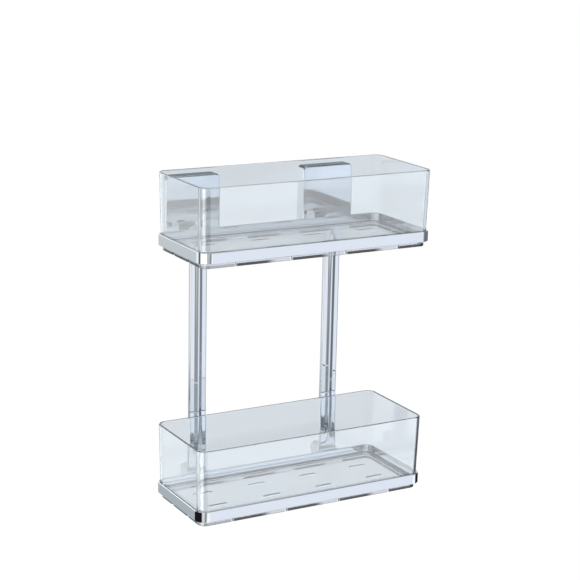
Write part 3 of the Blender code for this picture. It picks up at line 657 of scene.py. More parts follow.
plate_rear = bracket_front + BRACKET_SHEET
plate_half = bracket_high.z
arm_half = (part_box("left_standoff")[1].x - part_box("left_standoff")[0].x) / 2
arm_front = bracket_low.y
arm_bottom = bracket_low.z
bend_level = arm_bottom + BEND_OUTER
bracket_tip = post_high.z

plate_low = Vector((left_x - plate_half, bracket_front, -plate_half))
bracket = add_block("left_bracket_steel", plate_low, Vector((left_x + plate_half, plate_rear, plate_half)))
pick(bracket, "EDGE", lambda place, direction: along_y(direction) and place.z > 0)
round_off(BRACKET_CORNER, 6)
for side in (-1, 1):
    pick(bracket, "FACE", lambda place, direction: True)
    bpy.ops.mesh.bisect(plane_co=(left_x + side * arm_half, 0, 0), plane_no=(1, 0, 0))
pick(bracket, "FACE", lambda place, direction: direction.z < -0.9 and near(place.x, left_x))
extrude(z=bend_level + plate_half)
bpy.ops.mesh.spin(
    steps=8, angle=-math.pi / 2, center=(0, plate_rear - BEND_OUTER, bend_level), axis=(1, 0, 0)
)
extrude(y=arm_front + 2 * BEND_OUTER - plate_rear)
bpy.ops.mesh.spin(
    steps=8, angle=-math.pi / 2, center=(0, arm_front + BEND_OUTER, bend_level), axis=(1, 0, 0)
)
extrude(z=bracket_tip - bend_level)
bpy.ops.mesh.select_all(action="SELECT")
bpy.ops.mesh.remove_doubles(threshold=NEAR / 2)
bpy.ops.mesh.normals_make_consistent(inside=False)
to_object_mode()
print("bracket spans", [round(1000 * value, 2) for value in bracket.dimensions], "mm")

# %% Bracket: slot, holes and edges
slot_low = Vector((left_x - STUD_SLOT / 2, bracket_front - OVERCUT, -STUD_BORE))
slot_high = Vector((left_x + STUD_SLOT / 2, plate_rear + OVERCUT, STUD_BORE))
stud_slot = add_block("stud_slot", slot_low, slot_high)
pick(stud_slot, "EDGE", lambda place, direction: along_y(direction))
round_off(STUD_BORE - NEAR, 10)
combine(bracket, "DIFFERENCE", stud_slot)
arm_span = (arm_front - OVERCUT, arm_front + BRACKET_SHEET + OVERCUT)
combine(bracket, "DIFFERENCE", *bore_cutters(UPPER_SCREWS, SMALL_BORE, *arm_span))
apply_modifier(
    bracket, "BEVEL", width=SMALL_SOFTENING, segments=2, limit_method="ANGLE", angle_limit=math.radians(50)
)
left_bracket = smooth(bracket, 40.0)
right_bracket = copy_of(left_bracket, "right_bracket_steel", SIDE_STEP)
print("bracket faces:", len(left_bracket.data.polygons))

# %% [markdown]
# ## Socket screws
#
# The screws are driven from the wall's side, so their heads point backwards. Each is turned from a rod: the
# head is drawn first, its front face is inset to the shank's size and pulled forward. A six-sided cutter
# leaves the socket. A thread could be swept as a helix, but it is hidden in the blocks, and a plain shank
# stands for it.

# %% Screws
SCREW_CHAMFER = 0.0006
# The shank's radius, the head's height, and the socket's width across flats and depth.
SMALL_SCREW = (SMALL_SHANK, 0.0018, 0.0020, 0.0010)
LARGE_SCREW = (FOOT_SHANK, 0.0024, 0.0025, 0.0014)


def make_screw(name, node, shank, head_height, socket_width, socket_depth):
    low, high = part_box(node)
    centre = middle_of(node)
    head = (high.x - low.x) / 2
    neck = high.y - head_height
    screw = add_rod(name, head, Vector((centre.x, neck, centre.z)), Vector((centre.x, high.y, centre.z)))
    pick(screw, "FACE", lambda place, direction: direction.y < -0.9)
    inset(head - shank)
    extrude(y=low.y - neck)
    bpy.ops.mesh.region_to_loop()
    round_off(SCREW_CHAMFER, 1)
    pick(screw, "EDGE", lambda place, direction: near(place.y, high.y) or near(place.y, neck))
    round_off(SMALL_SOFTENING / 2, 2)
    socket_start = Vector((centre.x, high.y - socket_depth, centre.z))
    socket_end = Vector((centre.x, high.y + OVERCUT, centre.z))
    socket = add_rod("socket", socket_width / math.sqrt(3), socket_start, socket_end, sides=6)
    combine(screw, "DIFFERENCE", socket)
    return smooth(screw)


outer_screw = make_screw("left_upper_outer_socket_screw", UPPER_SCREWS[0], *SMALL_SCREW)
inner_screw = make_screw("left_upper_inner_socket_screw", UPPER_SCREWS[1], *SMALL_SCREW)
foot_screw = make_screw("left_lower_socket_screw", FOOT_SCREW[0], *LARGE_SCREW)
right_outer_step = middle_of("right_upper_outer_screw") - middle_of(UPPER_SCREWS[0])
right_inner_step = middle_of("right_upper_inner_screw") - middle_of(UPPER_SCREWS[1])
right_outer_screw = copy_of(outer_screw, "right_upper_outer_socket_screw", right_outer_step)
right_inner_screw = copy_of(inner_screw, "right_upper_inner_socket_screw", right_inner_step)
right_foot_screw = copy_of(foot_screw, "right_lower_socket_screw", SIDE_STEP)
print("screw faces:", len(outer_screw.data.polygons), "and", len(foot_screw.data.polygons))

# %% [markdown]
# ## The fixing on the wall
#
# A foam pad sticks a plate to the wall. A stud with a flat flange sits in the plate's back and comes out in
# front, where the bracket, a washer and a nut go over it. The flange needs a recess, so the plate is cut from
# behind with a wide cutter and right through with a narrow one.

# %% Pad and wall plate
PLATE_CORNER = 0.0040
PLATE_SOFTENING = 0.0005
PAD_SOFTENING = 0.0001
FLANGE_THICKNESS = 0.0010

pad = rounded_block("left_pad_foam", "left_adhesive_pad", PLATE_CORNER, PAD_SOFTENING)
left_pad = smooth(pad)
right_pad = copy_of(left_pad, "right_pad_foam", SIDE_STEP)

flange_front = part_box("left_stud")[1].y - FLANGE_THICKNESS
plate_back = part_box("left_wall_plate")[1].y
flange_radius = (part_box("left_stud")[1].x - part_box("left_stud")[0].x) / 2
wall_plate = rounded_block("left_wall_plate_moulding", "left_wall_plate", PLATE_CORNER, PLATE_SOFTENING)
recess_start = Vector((left_x, flange_front - SEAT_GAP, 0))
recess_end = Vector((left_x, plate_back + OVERCUT, 0))
recess = add_rod("recess", flange_radius + HOLE_CLEARANCE, recess_start, recess_end)
combine(wall_plate, "DIFFERENCE", recess)
bore_start = Vector((left_x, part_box("left_wall_plate")[0].y - OVERCUT, 0))
combine(wall_plate, "DIFFERENCE", add_rod("bore", STUD_BORE, bore_start, recess_end))
left_wall_plate = smooth(wall_plate)
right_wall_plate = copy_of(left_wall_plate, "right_wall_plate_moulding", SIDE_STEP)
print("wall plate faces:", len(left_wall_plate.data.polygons))

# %% Stud, washer and nut
STUD_CHAMFER = 0.0008
NUT_CORNER_RADIUS = 0.00452
NUT_CHAMFER = 0.0005

stud_low, stud_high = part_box("left_stud")
stud = add_rod(
    "left_stud_steel", flange_radius, Vector((left_x, flange_front, 0)), Vector((left_x, stud_high.y, 0))
)
pick(stud, "FACE", lambda place, direction: direction.y < -0.9)
inset(flange_radius - STUD_RADIUS)
extrude(y=stud_low.y - flange_front)
bpy.ops.mesh.region_to_loop()
round_off(STUD_CHAMFER, 1)
left_stud = smooth(stud)
right_stud = copy_of(left_stud, "right_stud_steel", SIDE_STEP)


def drilled_rod(name, node, radius, softening, sides=64):
    """A round or six-sided disc in a node's span, with soft rims and the stud's bore."""
    low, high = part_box(node)
    disc = add_rod(name, radius, Vector((left_x, low.y, 0)), Vector((left_x, high.y, 0)), sides)
    pick(disc, "EDGE", lambda place, direction: near(place.y, low.y) or near(place.y, high.y))
    round_off(softening, 2)
    start = Vector((left_x, low.y - OVERCUT, 0))
    end = Vector((left_x, high.y + OVERCUT, 0))
    combine(disc, "DIFFERENCE", add_rod("bore", STUD_BORE, start, end))
    return disc


washer_radius = (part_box("left_washer")[1].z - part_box("left_washer")[0].z) / 2
washer = drilled_rod("left_washer_steel", "left_washer", washer_radius, SMALL_SOFTENING / 2)
left_washer = smooth(washer)
right_washer = copy_of(left_washer, "right_washer_steel", SIDE_STEP)

nut_low, nut_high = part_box("left_nut")
hex_radius = (nut_high.x - nut_low.x) / 2
nut = drilled_rod("left_nut_steel", "left_nut", NUT_CORNER_RADIUS, NUT_CHAMFER)
hex_start = Vector((left_x, nut_low.y - OVERCUT, 0))
hex_end = Vector((left_x, nut_high.y + OVERCUT, 0))
combine(nut, "INTERSECT", add_rod("flats", hex_radius, hex_start, hex_end, sides=6))
left_nut = smooth(nut)
right_nut = copy_of(left_nut, "right_nut_steel", SIDE_STEP)
print("nut spans", [round(1000 * value, 2) for value in left_nut.dimensions], "mm")

# %% [markdown]
# ## Stand-offs and wall buffers
#
# At the foot of each post a plastic block reaches back to the wall, and a rubber disc pushed into its bore
# touches the tiles. The block tapers behind its shoulder. Scaling the end face while it is pulled back makes
# the taper in one step, where a lattice or a proportional edit would need tuning.

# %% Stand-offs and buffers
STANDOFF_SHOULDER = 0.0060
STANDOFF_REAR = Vector((0.0070, 0, 0.0060))
STANDOFF_SEAT = 0.0040
STANDOFF_ROUND = 0.0010
BUFFER_THICKNESS = 0.0026
BUFFER_CHAMFER = 0.0005

standoff_low, standoff_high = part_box("left_standoff")
standoff_centre = middle_of("left_standoff")
shoulder_y = standoff_low.y + STANDOFF_SHOULDER
standoff = add_block(
    "left_standoff_moulding", standoff_low, Vector((standoff_high.x, shoulder_y, standoff_high.z))
)
pick(standoff, "FACE", lambda place, direction: direction.y > 0.9)
extrude(y=standoff_high.y - shoulder_y)
rear_scale = (
    STANDOFF_REAR.x / (standoff_high.x - standoff_centre.x),
    STANDOFF_REAR.z / (standoff_high.z - standoff_centre.z),
)
resize(standoff_centre, x=rear_scale[0], z=rear_scale[1])
pick(standoff, "EDGE", lambda place, direction: abs(direction.y) > 0.7)
round_off(STANDOFF_ROUND, 4)
pick(
    standoff, "EDGE", lambda place, direction: near(place.y, standoff_low.y) or near(place.y, standoff_high.y)
)
round_off(SMALL_SOFTENING, 2)
well_radius = (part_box(FOOT_SCREW[0])[1].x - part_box(FOOT_SCREW[0])[0].x) / 2 + HOLE_CLEARANCE
well_span = (standoff_low.y + STANDOFF_SEAT, standoff_high.y + OVERCUT)
combine(standoff, "DIFFERENCE", *bore_cutters(FOOT_SCREW, well_radius, *well_span))
combine(standoff, "DIFFERENCE", *bore_cutters(FOOT_SCREW, FOOT_BORE, standoff_low.y - OVERCUT, well_span[1]))
left_standoff = smooth(standoff)
right_standoff = copy_of(left_standoff, "right_standoff_moulding", SIDE_STEP)

buffer_low, buffer_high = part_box("left_wall_buffer")
buffer_radius = (buffer_high.x - buffer_low.x) / 2
disc_front = Vector((left_x, buffer_high.y - BUFFER_THICKNESS, standoff_centre.z))
buffer_disc = add_rod(
    "left_buffer_rubber", buffer_radius, disc_front, Vector((left_x, buffer_high.y, standoff_centre.z))
)
pick(
    buffer_disc, "EDGE", lambda place, direction: near(place.y, buffer_high.y) or near(place.y, disc_front.y)
)
round_off(BUFFER_CHAMFER, 3)
pick(buffer_disc, "FACE", lambda place, direction: near(place.y, disc_front.y) and along_y(direction))
inset(buffer_radius - BUFFER_CHAMFER - well_radius + HOLE_CLEARANCE)
extrude(y=buffer_low.y - disc_front.y)
bpy.ops.mesh.region_to_loop()
round_off(BUFFER_CHAMFER, 2)
left_buffer = smooth(buffer_disc)
right_buffer = copy_of(left_buffer, "right_buffer_rubber", SIDE_STEP)
print("stand-off:", [round(1000 * value, 2) for value in left_standoff.dimensions])
print("buffer:", [round(1000 * value, 2) for value in left_buffer.dimensions])

# %% [markdown]
# ## Shader sums as Python
#
# A node tree can be drawn by hand, but a sum of four terms is then a knot of wires. A small class wraps one
# output socket and teaches Python's signs what to do with it, so that `0.3 + noise * 0.1` adds its Math nodes
# by itself. Every other node comes from one method that sets the node up first and then its sockets.

# %% Socket and Finish
class Socket:
    """One output of a node, on which + - * / build Math nodes."""

    def __init__(self, finish, output):
        self.finish = finish
        self.output = output

    def __add__(self, other):
        return self.finish.math("ADD", self, other)

    def __radd__(self, other):
        return self.finish.math("ADD", other, self)

    def __sub__(self, other):
        return self.finish.math("SUBTRACT", self, other)

    def __rsub__(self, other):
        return self.finish.math("SUBTRACT", other, self)

    def __mul__(self, other):
        return self.finish.math("MULTIPLY", self, other)

    def __rmul__(self, other):
        return self.finish.math("MULTIPLY", other, self)

    def __truediv__(self, other):
        return self.finish.math("DIVIDE", self, other)


class Finish:
    """A node tree, with one method that adds any node."""

    def __init__(self, tree):
        self.tree = tree
        self.tree.nodes.clear()

    def node(self, kind, settings=None, inputs=None, output=0):
        """Add a node, apply its settings, then fill its sockets with values or links."""
        added = self.tree.nodes.new(kind)
        for name, value in (settings or {}).items():
            setattr(added, name, value)
        for name, value in (inputs or {}).items():
            if isinstance(value, Socket):
                self.tree.links.new(value.output, added.inputs[name])
            else:
                added.inputs[name].default_value = value
        return Socket(self, added.outputs[output] if added.outputs else None)

    def math(self, operation, first, second=0.0):
        return self.node("ShaderNodeMath", {"operation": operation}, {0: first, 1: second})

    def place(self):
        """The point being shaded, in the piece's own metres."""
        return self.node("ShaderNodeTexCoord", output="Object")

    def noise(self, scale, detail=2.0, roughness=0.5):
        inputs = {"Vector": self.place(), "Scale": scale, "Detail": detail, "Roughness": roughness}
        return self.node("ShaderNodeTexNoise", inputs=inputs)

    def mix(self, factor, first, second):
        inputs = {"Factor": factor, 6: (*first, 1.0) if isinstance(first, tuple) else first}
        inputs[7] = (*second, 1.0) if isinstance(second, tuple) else second
        return self.node("ShaderNodeMix", {"data_type": "RGBA"}, inputs, output=2)

    def window(self, value, edges):
        """A soft step: 0 below the first edge, 1 above the second."""
        inputs = {"Value": value, "From Min": edges[0], "From Max": edges[1]}
        return self.node("ShaderNodeMapRange", {"interpolation_type": "SMOOTHSTEP"}, inputs)

    def bump(self, height, strength, distance):
        inputs = {"Height": height, "Strength": strength, "Distance": distance}
        return self.node("ShaderNodeBump", inputs=inputs)


def new_finish(name):
    material = bpy.data.materials.new(name)
    material.use_nodes = True
    return material, Finish(material.node_tree)


print("sums and nodes are ready")

# %% [markdown]
# ## Chrome
#
# Chrome plate is a mirror with a faint cool cast. On bent sheet it is never quite flat: long soft ripples
# bend the reflections, a finer orange peel lies over them, and handling leaves patches that are a little
# dull. The colour hardly varies, so the roughness and a weak bump carry the finish.

# %% Chrome
chrome, finish = new_finish("mirror_chrome")
handling = finish.noise(22.0, 3.0)
peel = finish.noise(420.0, 1.0)
ripple = finish.noise(16.0, 0.0)
shader = finish.node("ShaderNodeBsdfPrincipled", inputs={
    "Base Color": finish.mix(handling, (0.90, 0.91, 0.93), (0.94, 0.945, 0.955)),
    "Metallic": 1.0,
    "Roughness": 0.02 + finish.window(handling, (0.45, 0.75)) * 0.05,
    "Normal": finish.bump(ripple * 0.9 + peel * 0.012, 0.25, 0.0006),
})
finish.node("ShaderNodeOutputMaterial", inputs={"Surface": shader})
print("chrome has", len(chrome.node_tree.nodes), "nodes")

# %% [markdown]
# ## Clear plastic
#
# A clear tray shows mostly what is behind it, twice bent. Two things make it read as plastic: a blue-grey
# tint that deepens along edges, where light runs a long way inside, and a wall that is not perfectly flat. A
# tinted surface would colour thin and thick places alike. Absorption in the volume follows the real path, so
# rims and corners darken by themselves. A transmission just under 1 leaves a trace of haze.
#
# The foot is greyer than the walls, and strips of painted shade run dark along its lower edge. They stand
# for a reflection of the dark ground under the tray, which a clear edge over a white floor can't mirror, so
# the material paints them by their place. In front and behind, each strip starts beside a slit and ends
# before the next, and past the last slit the whole edge is painted dark. At the left end only the outer skin
# is, so that the notches there stay open to the light.

# %% Clear plastic: the foot
SOFT_EDGE = 0.0003
FOOT_GREY_HEIGHT = 0.0046
# The strips along the foot's lower edge are painted shade: a dark painted reflection of the ground under the
# tray.
PAINTED_SHADE_HEIGHT = 0.0026
PAINTED_SHADE_START = 0.0022
PAINTED_SHADE_SHARE = (0.5, 0.72)
FIRST_PAINTED_SHADE = 0.4
PAINTED_SHADE_RISE = 0.001
# How far inside the rim's outline the painted shade on the outer skin starts and is full, and the corners'
# clear stretch likewise.
SKIN_DEPTHS = (0.0040, 0.0038)
CORNER_DEPTHS = (0.0130, 0.0120)


def coordinates(finish):
    """The three coordinates of the point being shaded."""
    axes = finish.node("ShaderNodeSeparateXYZ", inputs={0: finish.place()}).output.node
    return [Socket(finish, axes.outputs[axis]) for axis in "XYZ"]


def below(finish, value, level):
    """1 below a level and 0 above it, with a soft edge."""
    return 1 - finish.window(value, (level, level + SOFT_EDGE))


def painted_shade_strips(finish, foot_level):
    """1 on the strips of painted shade along the foot's lower edge, 0 elsewhere."""
    x, y, z = coordinates(finish)
    start = columns[0] + PAINTED_SHADE_START
    share = finish.math("FRACT", (x - start) / SLOT_PITCH_X)
    dashes = (1 - finish.window(share, PAINTED_SHADE_SHARE)) * finish.window(x, (start - SOFT_EDGE, start))
    before_first = FIRST_PAINTED_SHADE * (1 - finish.window(x, (columns[0], columns[0] + PAINTED_SHADE_RISE)))
    after_last = finish.window(x, (columns[-1], columns[-1] + PAINTED_SHADE_RISE))
    outer_skin = finish.window(finish.math("ABSOLUTE", x), [tray_half.x - depth for depth in SKIN_DEPTHS])
    off_middle = finish.math("ABSOLUTE", y - tray_middle.y)
    straight = 1 - finish.window(off_middle, [tray_half.y - depth for depth in CORNER_DEPTHS])
    front = finish.math("MAXIMUM", dashes, before_first)
    sides = finish.math("MAXIMUM", after_last, outer_skin * straight)
    return below(finish, z, foot_level + PAINTED_SHADE_HEIGHT) * finish.math("MAXIMUM", front, sides)


print("smoky strips are", round(1000 * PAINTED_SHADE_HEIGHT, 1), "mm high")

# %% Clear plastic: the material
PLASTIC_TINT = (0.568, 0.695, 0.757)
PLASTIC_DENSITY = 45.0
CLARITY = 0.955
FOOT_GREY = (0.72, 0.725, 0.77)
# The colour and roughness of the painted shade along the foot's lower edge.
PAINTED_SHADE_COLOUR = (0.02, 0.022, 0.026)
PAINTED_SHADE_ROUGHNESS = 0.4


def clear_plastic(name, foot_level):
    """Clear moulded plastic with a greyer foot and strips of painted shade along the foot's edge."""
    material, finish = new_finish(name)
    flow = finish.noise(24.0, 1.0)
    grain = finish.noise(900.0, 2.0)
    wear = finish.noise(70.0, 4.0)
    clear = finish.mix(flow, (0.965, 0.98, 0.99), (0.985, 0.99, 0.995))
    # Painted shade: dark strips along the foot's lower edge stand in for a reflection of dark ground.
    painted_shade = painted_shade_strips(finish, foot_level)
    foot = below(finish, coordinates(finish)[2], foot_level + FOOT_GREY_HEIGHT)
    shader = finish.node("ShaderNodeBsdfPrincipled", inputs={
        "Base Color": finish.mix(painted_shade, finish.mix(foot, clear, FOOT_GREY), PAINTED_SHADE_COLOUR),
        "Roughness": 0.012 + finish.window(wear, (0.55, 0.8)) * 0.05 + painted_shade * PAINTED_SHADE_ROUGHNESS,
        "IOR": 1.49,
        "Transmission Weight": CLARITY,
        "Normal": finish.bump(flow * 1.0 + grain * 0.004, 0.2, 0.0006),
    })
    body = finish.node("ShaderNodeVolumeAbsorption", inputs={
        "Color": (*PLASTIC_TINT, 1.0),
        "Density": PLASTIC_DENSITY,
    })
    finish.node("ShaderNodeOutputMaterial", inputs={"Surface": shader, "Volume": body})
    return material


upper_clear = clear_plastic("clear_plastic_upper", tray_low.z)
lower_clear = clear_plastic("clear_plastic_lower", tray_low.z + TIER_STEP.z)
print("clear plastic:", upper_clear.name, lower_clear.name)

# %% [markdown]
# ## Zinc plate
#
# Zinc-plated hardware is a soft grey metal with a spangle of slightly bluish and yellowish patches and fine
# lines from rolling. Stretched noise gives the lines, round cells the patches.

# %% Zinc plate
zinc, finish = new_finish("zinc_plate")
patches = finish.node(
    "ShaderNodeTexVoronoi", inputs={"Vector": finish.place(), "Scale": 260.0}, output="Color"
)
spread = finish.node("ShaderNodeSeparateColor", inputs={0: patches})
stretch = finish.node("ShaderNodeMapping", inputs={"Vector": finish.place(), "Scale": (1.0, 1.0, 14.0)})
rolling = finish.node("ShaderNodeTexNoise", inputs={"Vector": stretch, "Scale": 260.0, "Detail": 3.0})
shader = finish.node("ShaderNodeBsdfPrincipled", inputs={
    "Base Color": finish.mix(spread, (0.56, 0.58, 0.62), (0.68, 0.67, 0.63)),
    "Metallic": 1.0,
    "Roughness": 0.26 + rolling * 0.16 + spread * 0.05,
    "Normal": finish.bump(rolling, 0.12, 0.0002),
})
finish.node("ShaderNodeOutputMaterial", inputs={"Surface": shader})
print("zinc has", len(zinc.node_tree.nodes), "nodes")

# %% [markdown]
# ## White plastic, foam and rubber
#
# These three stand between the metal and the wall. The moulding has a spark-eroded grain, the foam tape shows
# cut cells, and the rubber is clear with a grey cast, a little rough, with dust in its pores.

# %% White plastic
white_plastic, finish = new_finish("white_moulding")
grain = finish.noise(1400.0, 2.0)
yellowing = finish.noise(30.0, 2.0)
shader = finish.node("ShaderNodeBsdfPrincipled", inputs={
    "Base Color": finish.mix(yellowing, (0.86, 0.86, 0.85), (0.82, 0.815, 0.79)),
    "Roughness": 0.38 + grain * 0.18,
    "Normal": finish.bump(grain, 0.25, 0.0001),
})
finish.node("ShaderNodeOutputMaterial", inputs={"Surface": shader})
print("white plastic has", len(white_plastic.node_tree.nodes), "nodes")

# %% Foam tape
foam, finish = new_finish("foam_tape")
cells = finish.node("ShaderNodeTexVoronoi", inputs={"Vector": finish.place(), "Scale": 1100.0})
clouds = finish.noise(90.0, 2.0)
shader = finish.node("ShaderNodeBsdfPrincipled", inputs={
    "Base Color": finish.mix(cells * 0.8 + clouds * 0.3, (0.66, 0.66, 0.64), (0.84, 0.84, 0.83)),
    "Roughness": 0.88 - clouds * 0.1,
    "Normal": finish.bump(cells, 0.6, 0.0002),
})
finish.node("ShaderNodeOutputMaterial", inputs={"Surface": shader})
print("foam has", len(foam.node_tree.nodes), "nodes")

# %% Clear grey rubber
rubber, finish = new_finish("grey_rubber")
pores = finish.noise(2200.0, 3.0)
dust = finish.noise(160.0, 3.0)
shader = finish.node("ShaderNodeBsdfPrincipled", inputs={
    "Base Color": finish.mix(finish.window(dust, (0.45, 0.7)), (0.70, 0.72, 0.74), (0.78, 0.79, 0.79)),
    "Roughness": 0.35 + pores * 0.2,
    "IOR": 1.43,
    "Transmission Weight": 0.7,
    "Normal": finish.bump(pores, 0.3, 0.0001),
})
finish.node("ShaderNodeOutputMaterial", inputs={"Surface": shader})
print("rubber has", len(rubber.node_tree.nodes), "nodes")

# %% [markdown]
# ## Each piece takes its node's place
#
# The frame's solids stay for the physics, and each fine piece stands for one of them. The table names the
# node, its finish, the record's slot and the body that it moves with.

# %% Table of pieces
TABLE = [
    (upper_tray, "upper_tray", upper_clear, "clear_plastic", "upper_tray"),
    (lower_tray, "lower_tray", lower_clear, "clear_plastic", "lower_tray"),
    (upper_frame, "upper_frame", chrome, "polished_chrome", "rack"),
    (lower_frame, "lower_frame", chrome, "polished_chrome", "rack"),
    (left_post, "left_post", chrome, "polished_chrome", "rack"),
    (right_post, "right_post", chrome, "polished_chrome", "rack"),
    (spacers[0], "left_upper_spacer", chrome, "polished_chrome", "rack"),
    (spacers[1], "right_upper_spacer", chrome, "polished_chrome", "rack"),
    (spacers[2], "left_lower_spacer", chrome, "polished_chrome", "rack"),
    (spacers[3], "right_lower_spacer", chrome, "polished_chrome", "rack"),
    (left_cover, "left_cover", chrome, "polished_chrome", "rack"),
    (right_cover, "right_cover", chrome, "polished_chrome", "rack"),
    (outer_screw, "left_upper_outer_screw", zinc, "zinc_plated_steel", "rack"),
    (inner_screw, "left_upper_inner_screw", zinc, "zinc_plated_steel", "rack"),
    (right_outer_screw, "right_upper_outer_screw", zinc, "zinc_plated_steel", "rack"),
    (right_inner_screw, "right_upper_inner_screw", zinc, "zinc_plated_steel", "rack"),
    (foot_screw, "left_lower_screw", zinc, "zinc_plated_steel", "rack"),
    (right_foot_screw, "right_lower_screw", zinc, "zinc_plated_steel", "rack"),
    (left_bracket, "left_bracket", zinc, "zinc_plated_steel", "rack"),
    (right_bracket, "right_bracket", zinc, "zinc_plated_steel", "rack"),
    (left_stud, "left_stud", zinc, "zinc_plated_steel", "rack"),
    (right_stud, "right_stud", zinc, "zinc_plated_steel", "rack"),
    (left_washer, "left_washer", zinc, "zinc_plated_steel", "rack"),
    (right_washer, "right_washer", zinc, "zinc_plated_steel", "rack"),
    (left_nut, "left_nut", zinc, "zinc_plated_steel", "rack"),
    (right_nut, "right_nut", zinc, "zinc_plated_steel", "rack"),
    (left_wall_plate, "left_wall_plate", white_plastic, "white_plastic", "rack"),
    (right_wall_plate, "right_wall_plate", white_plastic, "white_plastic", "rack"),
    (left_standoff, "left_standoff", white_plastic, "white_plastic", "rack"),
    (right_standoff, "right_standoff", white_plastic, "white_plastic", "rack"),
    (left_pad, "left_adhesive_pad", foam, "foam_tape", "rack"),
    (right_pad, "right_adhesive_pad", foam, "foam_tape", "rack"),
    (left_buffer, "left_wall_buffer", rubber, "clear_grey_rubber", "rack"),
    (right_buffer, "right_wall_buffer", rubber, "clear_grey_rubber", "rack"),
]
to_object_mode()
for piece, node, material, slot, body in TABLE:
    piece.data.materials.clear()
    piece.data.materials.append(material)
    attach(piece, body)
    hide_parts(node)
print("pieces:", len(TABLE))

# %% [markdown]
# ## What the chrome sees
#
# A mirror has no look of its own: it shows the room. The band's front, its side, the covers and the posts
# each catch a different part of it, so the world is laid out like a photographer's softboxes and black flags.
# Directions are measured from the camera's heading: `heading` turns counterclockwise from the way back to the
# camera, and `height` is the angle above the horizon. Lamps could stand for the cards, but each would also
# light the matt pieces, and a card in the world costs nothing to move.

# %% World: directions
world = bpy.data.worlds.new("softboxes")
world.use_nodes = True
bpy.context.scene.world = world
sky = Finish(world.node_tree)
direction = sky.node("ShaderNodeTexCoord", output="Generated")
axes = sky.node("ShaderNodeSeparateXYZ", inputs={0: direction})
east = Socket(sky, axes.output.node.outputs["X"])
north = Socket(sky, axes.output.node.outputs["Y"])
rise = Socket(sky, axes.output.node.outputs["Z"])
cosine, sine = math.cos(CAMERA_AZIMUTH), math.sin(CAMERA_AZIMUTH)
across = east * cosine + north * sine
towards = east * sine - north * cosine
DEGREE = math.pi / 180
heading = sky.math("ARCTAN2", across, towards) / DEGREE
height = sky.math("ARCSINE", rise) / DEGREE
SOFT = 1.5


def between(value, low, high):
    """1 inside the span and 0 outside, with soft edges."""
    return sky.window(value, (low - SOFT, low + SOFT)) * (1 - sky.window(value, (high - SOFT, high + SOFT)))


print("headings count from azimuth", round(math.degrees(CAMERA_AZIMUTH), 2))

# %% World: cards for the mirrors
# Each row is a card: its colour, its headings from and to, and its heights from and to, in degrees.
CARDS = [
    ((0.79, 0.845, 0.94), 54, 76, -90, 20),
    ((0.22, 0.245, 0.28), 75, 150, -90, 22),
    ((0.13, 0.15, 0.18), 92, 150, -90, 22),
    ((0.50, 0.52, 0.55), 2, 24, -17, 22),
    ((1.2, 1.22, 1.25), -56, 0, -17, 22),
    ((0.12, 0.13, 0.15), -82, -60, -17, 22),
    ((0.86, 0.92, 0.96), -112, -84, -17, 22),
    ((0.66, 0.69, 0.73), -22, 2, -90, -17),
    ((0.01, 0.01, 0.012), -112, -24, -90, -17),
    ((0.56, 0.61, 0.63), -182, -114, -17, 22),
    ((0.415, 0.47, 0.50), -182, -114, -90, -17),
    ((0.07, 0.075, 0.085), -182, 182, 22, 62),
    ((1.1, 1.15, 1.2), -182, -146, 2, 22),
    ((1.1, 1.15, 1.2), 146, 182, 2, 22),
    ((0.34, 0.40, 0.42), 104, 146, -90, 22),
    ((0.16, 0.18, 0.21), 102, 182, -17, -9),
    ((1.05, 1.1, 1.15), 68, 98, -40, -19.8),
    ((0.02, 0.02, 0.025), 98, 182, -40, -18.5),
]
# Two narrow low cards for the posts, laid over the flag.
POST_CARDS = [
    ((0.45, 0.50, 0.55), 20, 48, -21, -14.6),
    ((0.22, 0.24, 0.27), 21, 30, -21, -14.6),
]
FLAG = (0.25, 0.28, 0.31)
FLAG_HORIZON = -22.2
FLAG_SLOPE = 2.56


def lay_cards(view, cards):
    """Lay each card over the view, the last on top."""
    for colour, start, end, low, high in cards:
        mask = between(heading, start, end) * between(height, low, high)
        view = sky.mix(mask, view, colour)
    return view


mirror_view = lay_cards((1.0, 1.0, 1.0), CARDS)
slant = (height - FLAG_HORIZON) * FLAG_SLOPE
flag = between(heading - slant, 2.0, 22.0) * between(height, -40, 22)
mirror_view = lay_cards(sky.mix(flag, mirror_view, FLAG), POST_CARDS)
print("world has", len(CARDS) + len(POST_CARDS), "cards and one slanted flag")

# %% [markdown]
# ## Mirrors behind clear walls
#
# The covers and the rear of each frame are seen through one, two or three clear walls, and much of the light
# in there has bounced about between plastic and chrome before it leaves. A path tracer with few bounces cuts
# that light short. The Light Path node tells how often a ray has been mirrored and how many plastic surfaces
# it has passed, so the world can give such rays the tones that the trapped light would have. The same node
# keeps the cards from everything else: the camera sees plain white, and matt surfaces get an even light.

# %% World: counting passes
RIM_LIGHT = (2.2, 2.25, 2.3)
TRAPPED_LIGHT = (0.82, 0.87, 0.92)
TRAPPED_EDGE = (0.05, 0.05, 0.06)
COVER_TOP = (0.18, 0.215, 0.25)
DEEP_LIGHT = (0.41, 0.44, 0.45)

rays = sky.node("ShaderNodeLightPath").output.node
is_camera_ray = Socket(sky, rays.outputs["Is Camera Ray"])
is_through_ray = Socket(sky, rays.outputs["Is Transmission Ray"])
mirrorings = Socket(sky, rays.outputs["Glossy Depth"])
passes = Socket(sky, rays.outputs["Transmission Depth"])


def at_least(count, value):
    """1 where a whole number is at least this count, 0 elsewhere."""
    return sky.window(value, (count - 0.6, count - 0.4))


entered = at_least(1, passes)
few_passes = entered * (1 - at_least(4, passes))
many_passes = at_least(4, passes)
six_passes = at_least(6, passes) * (1 - at_least(7, passes))

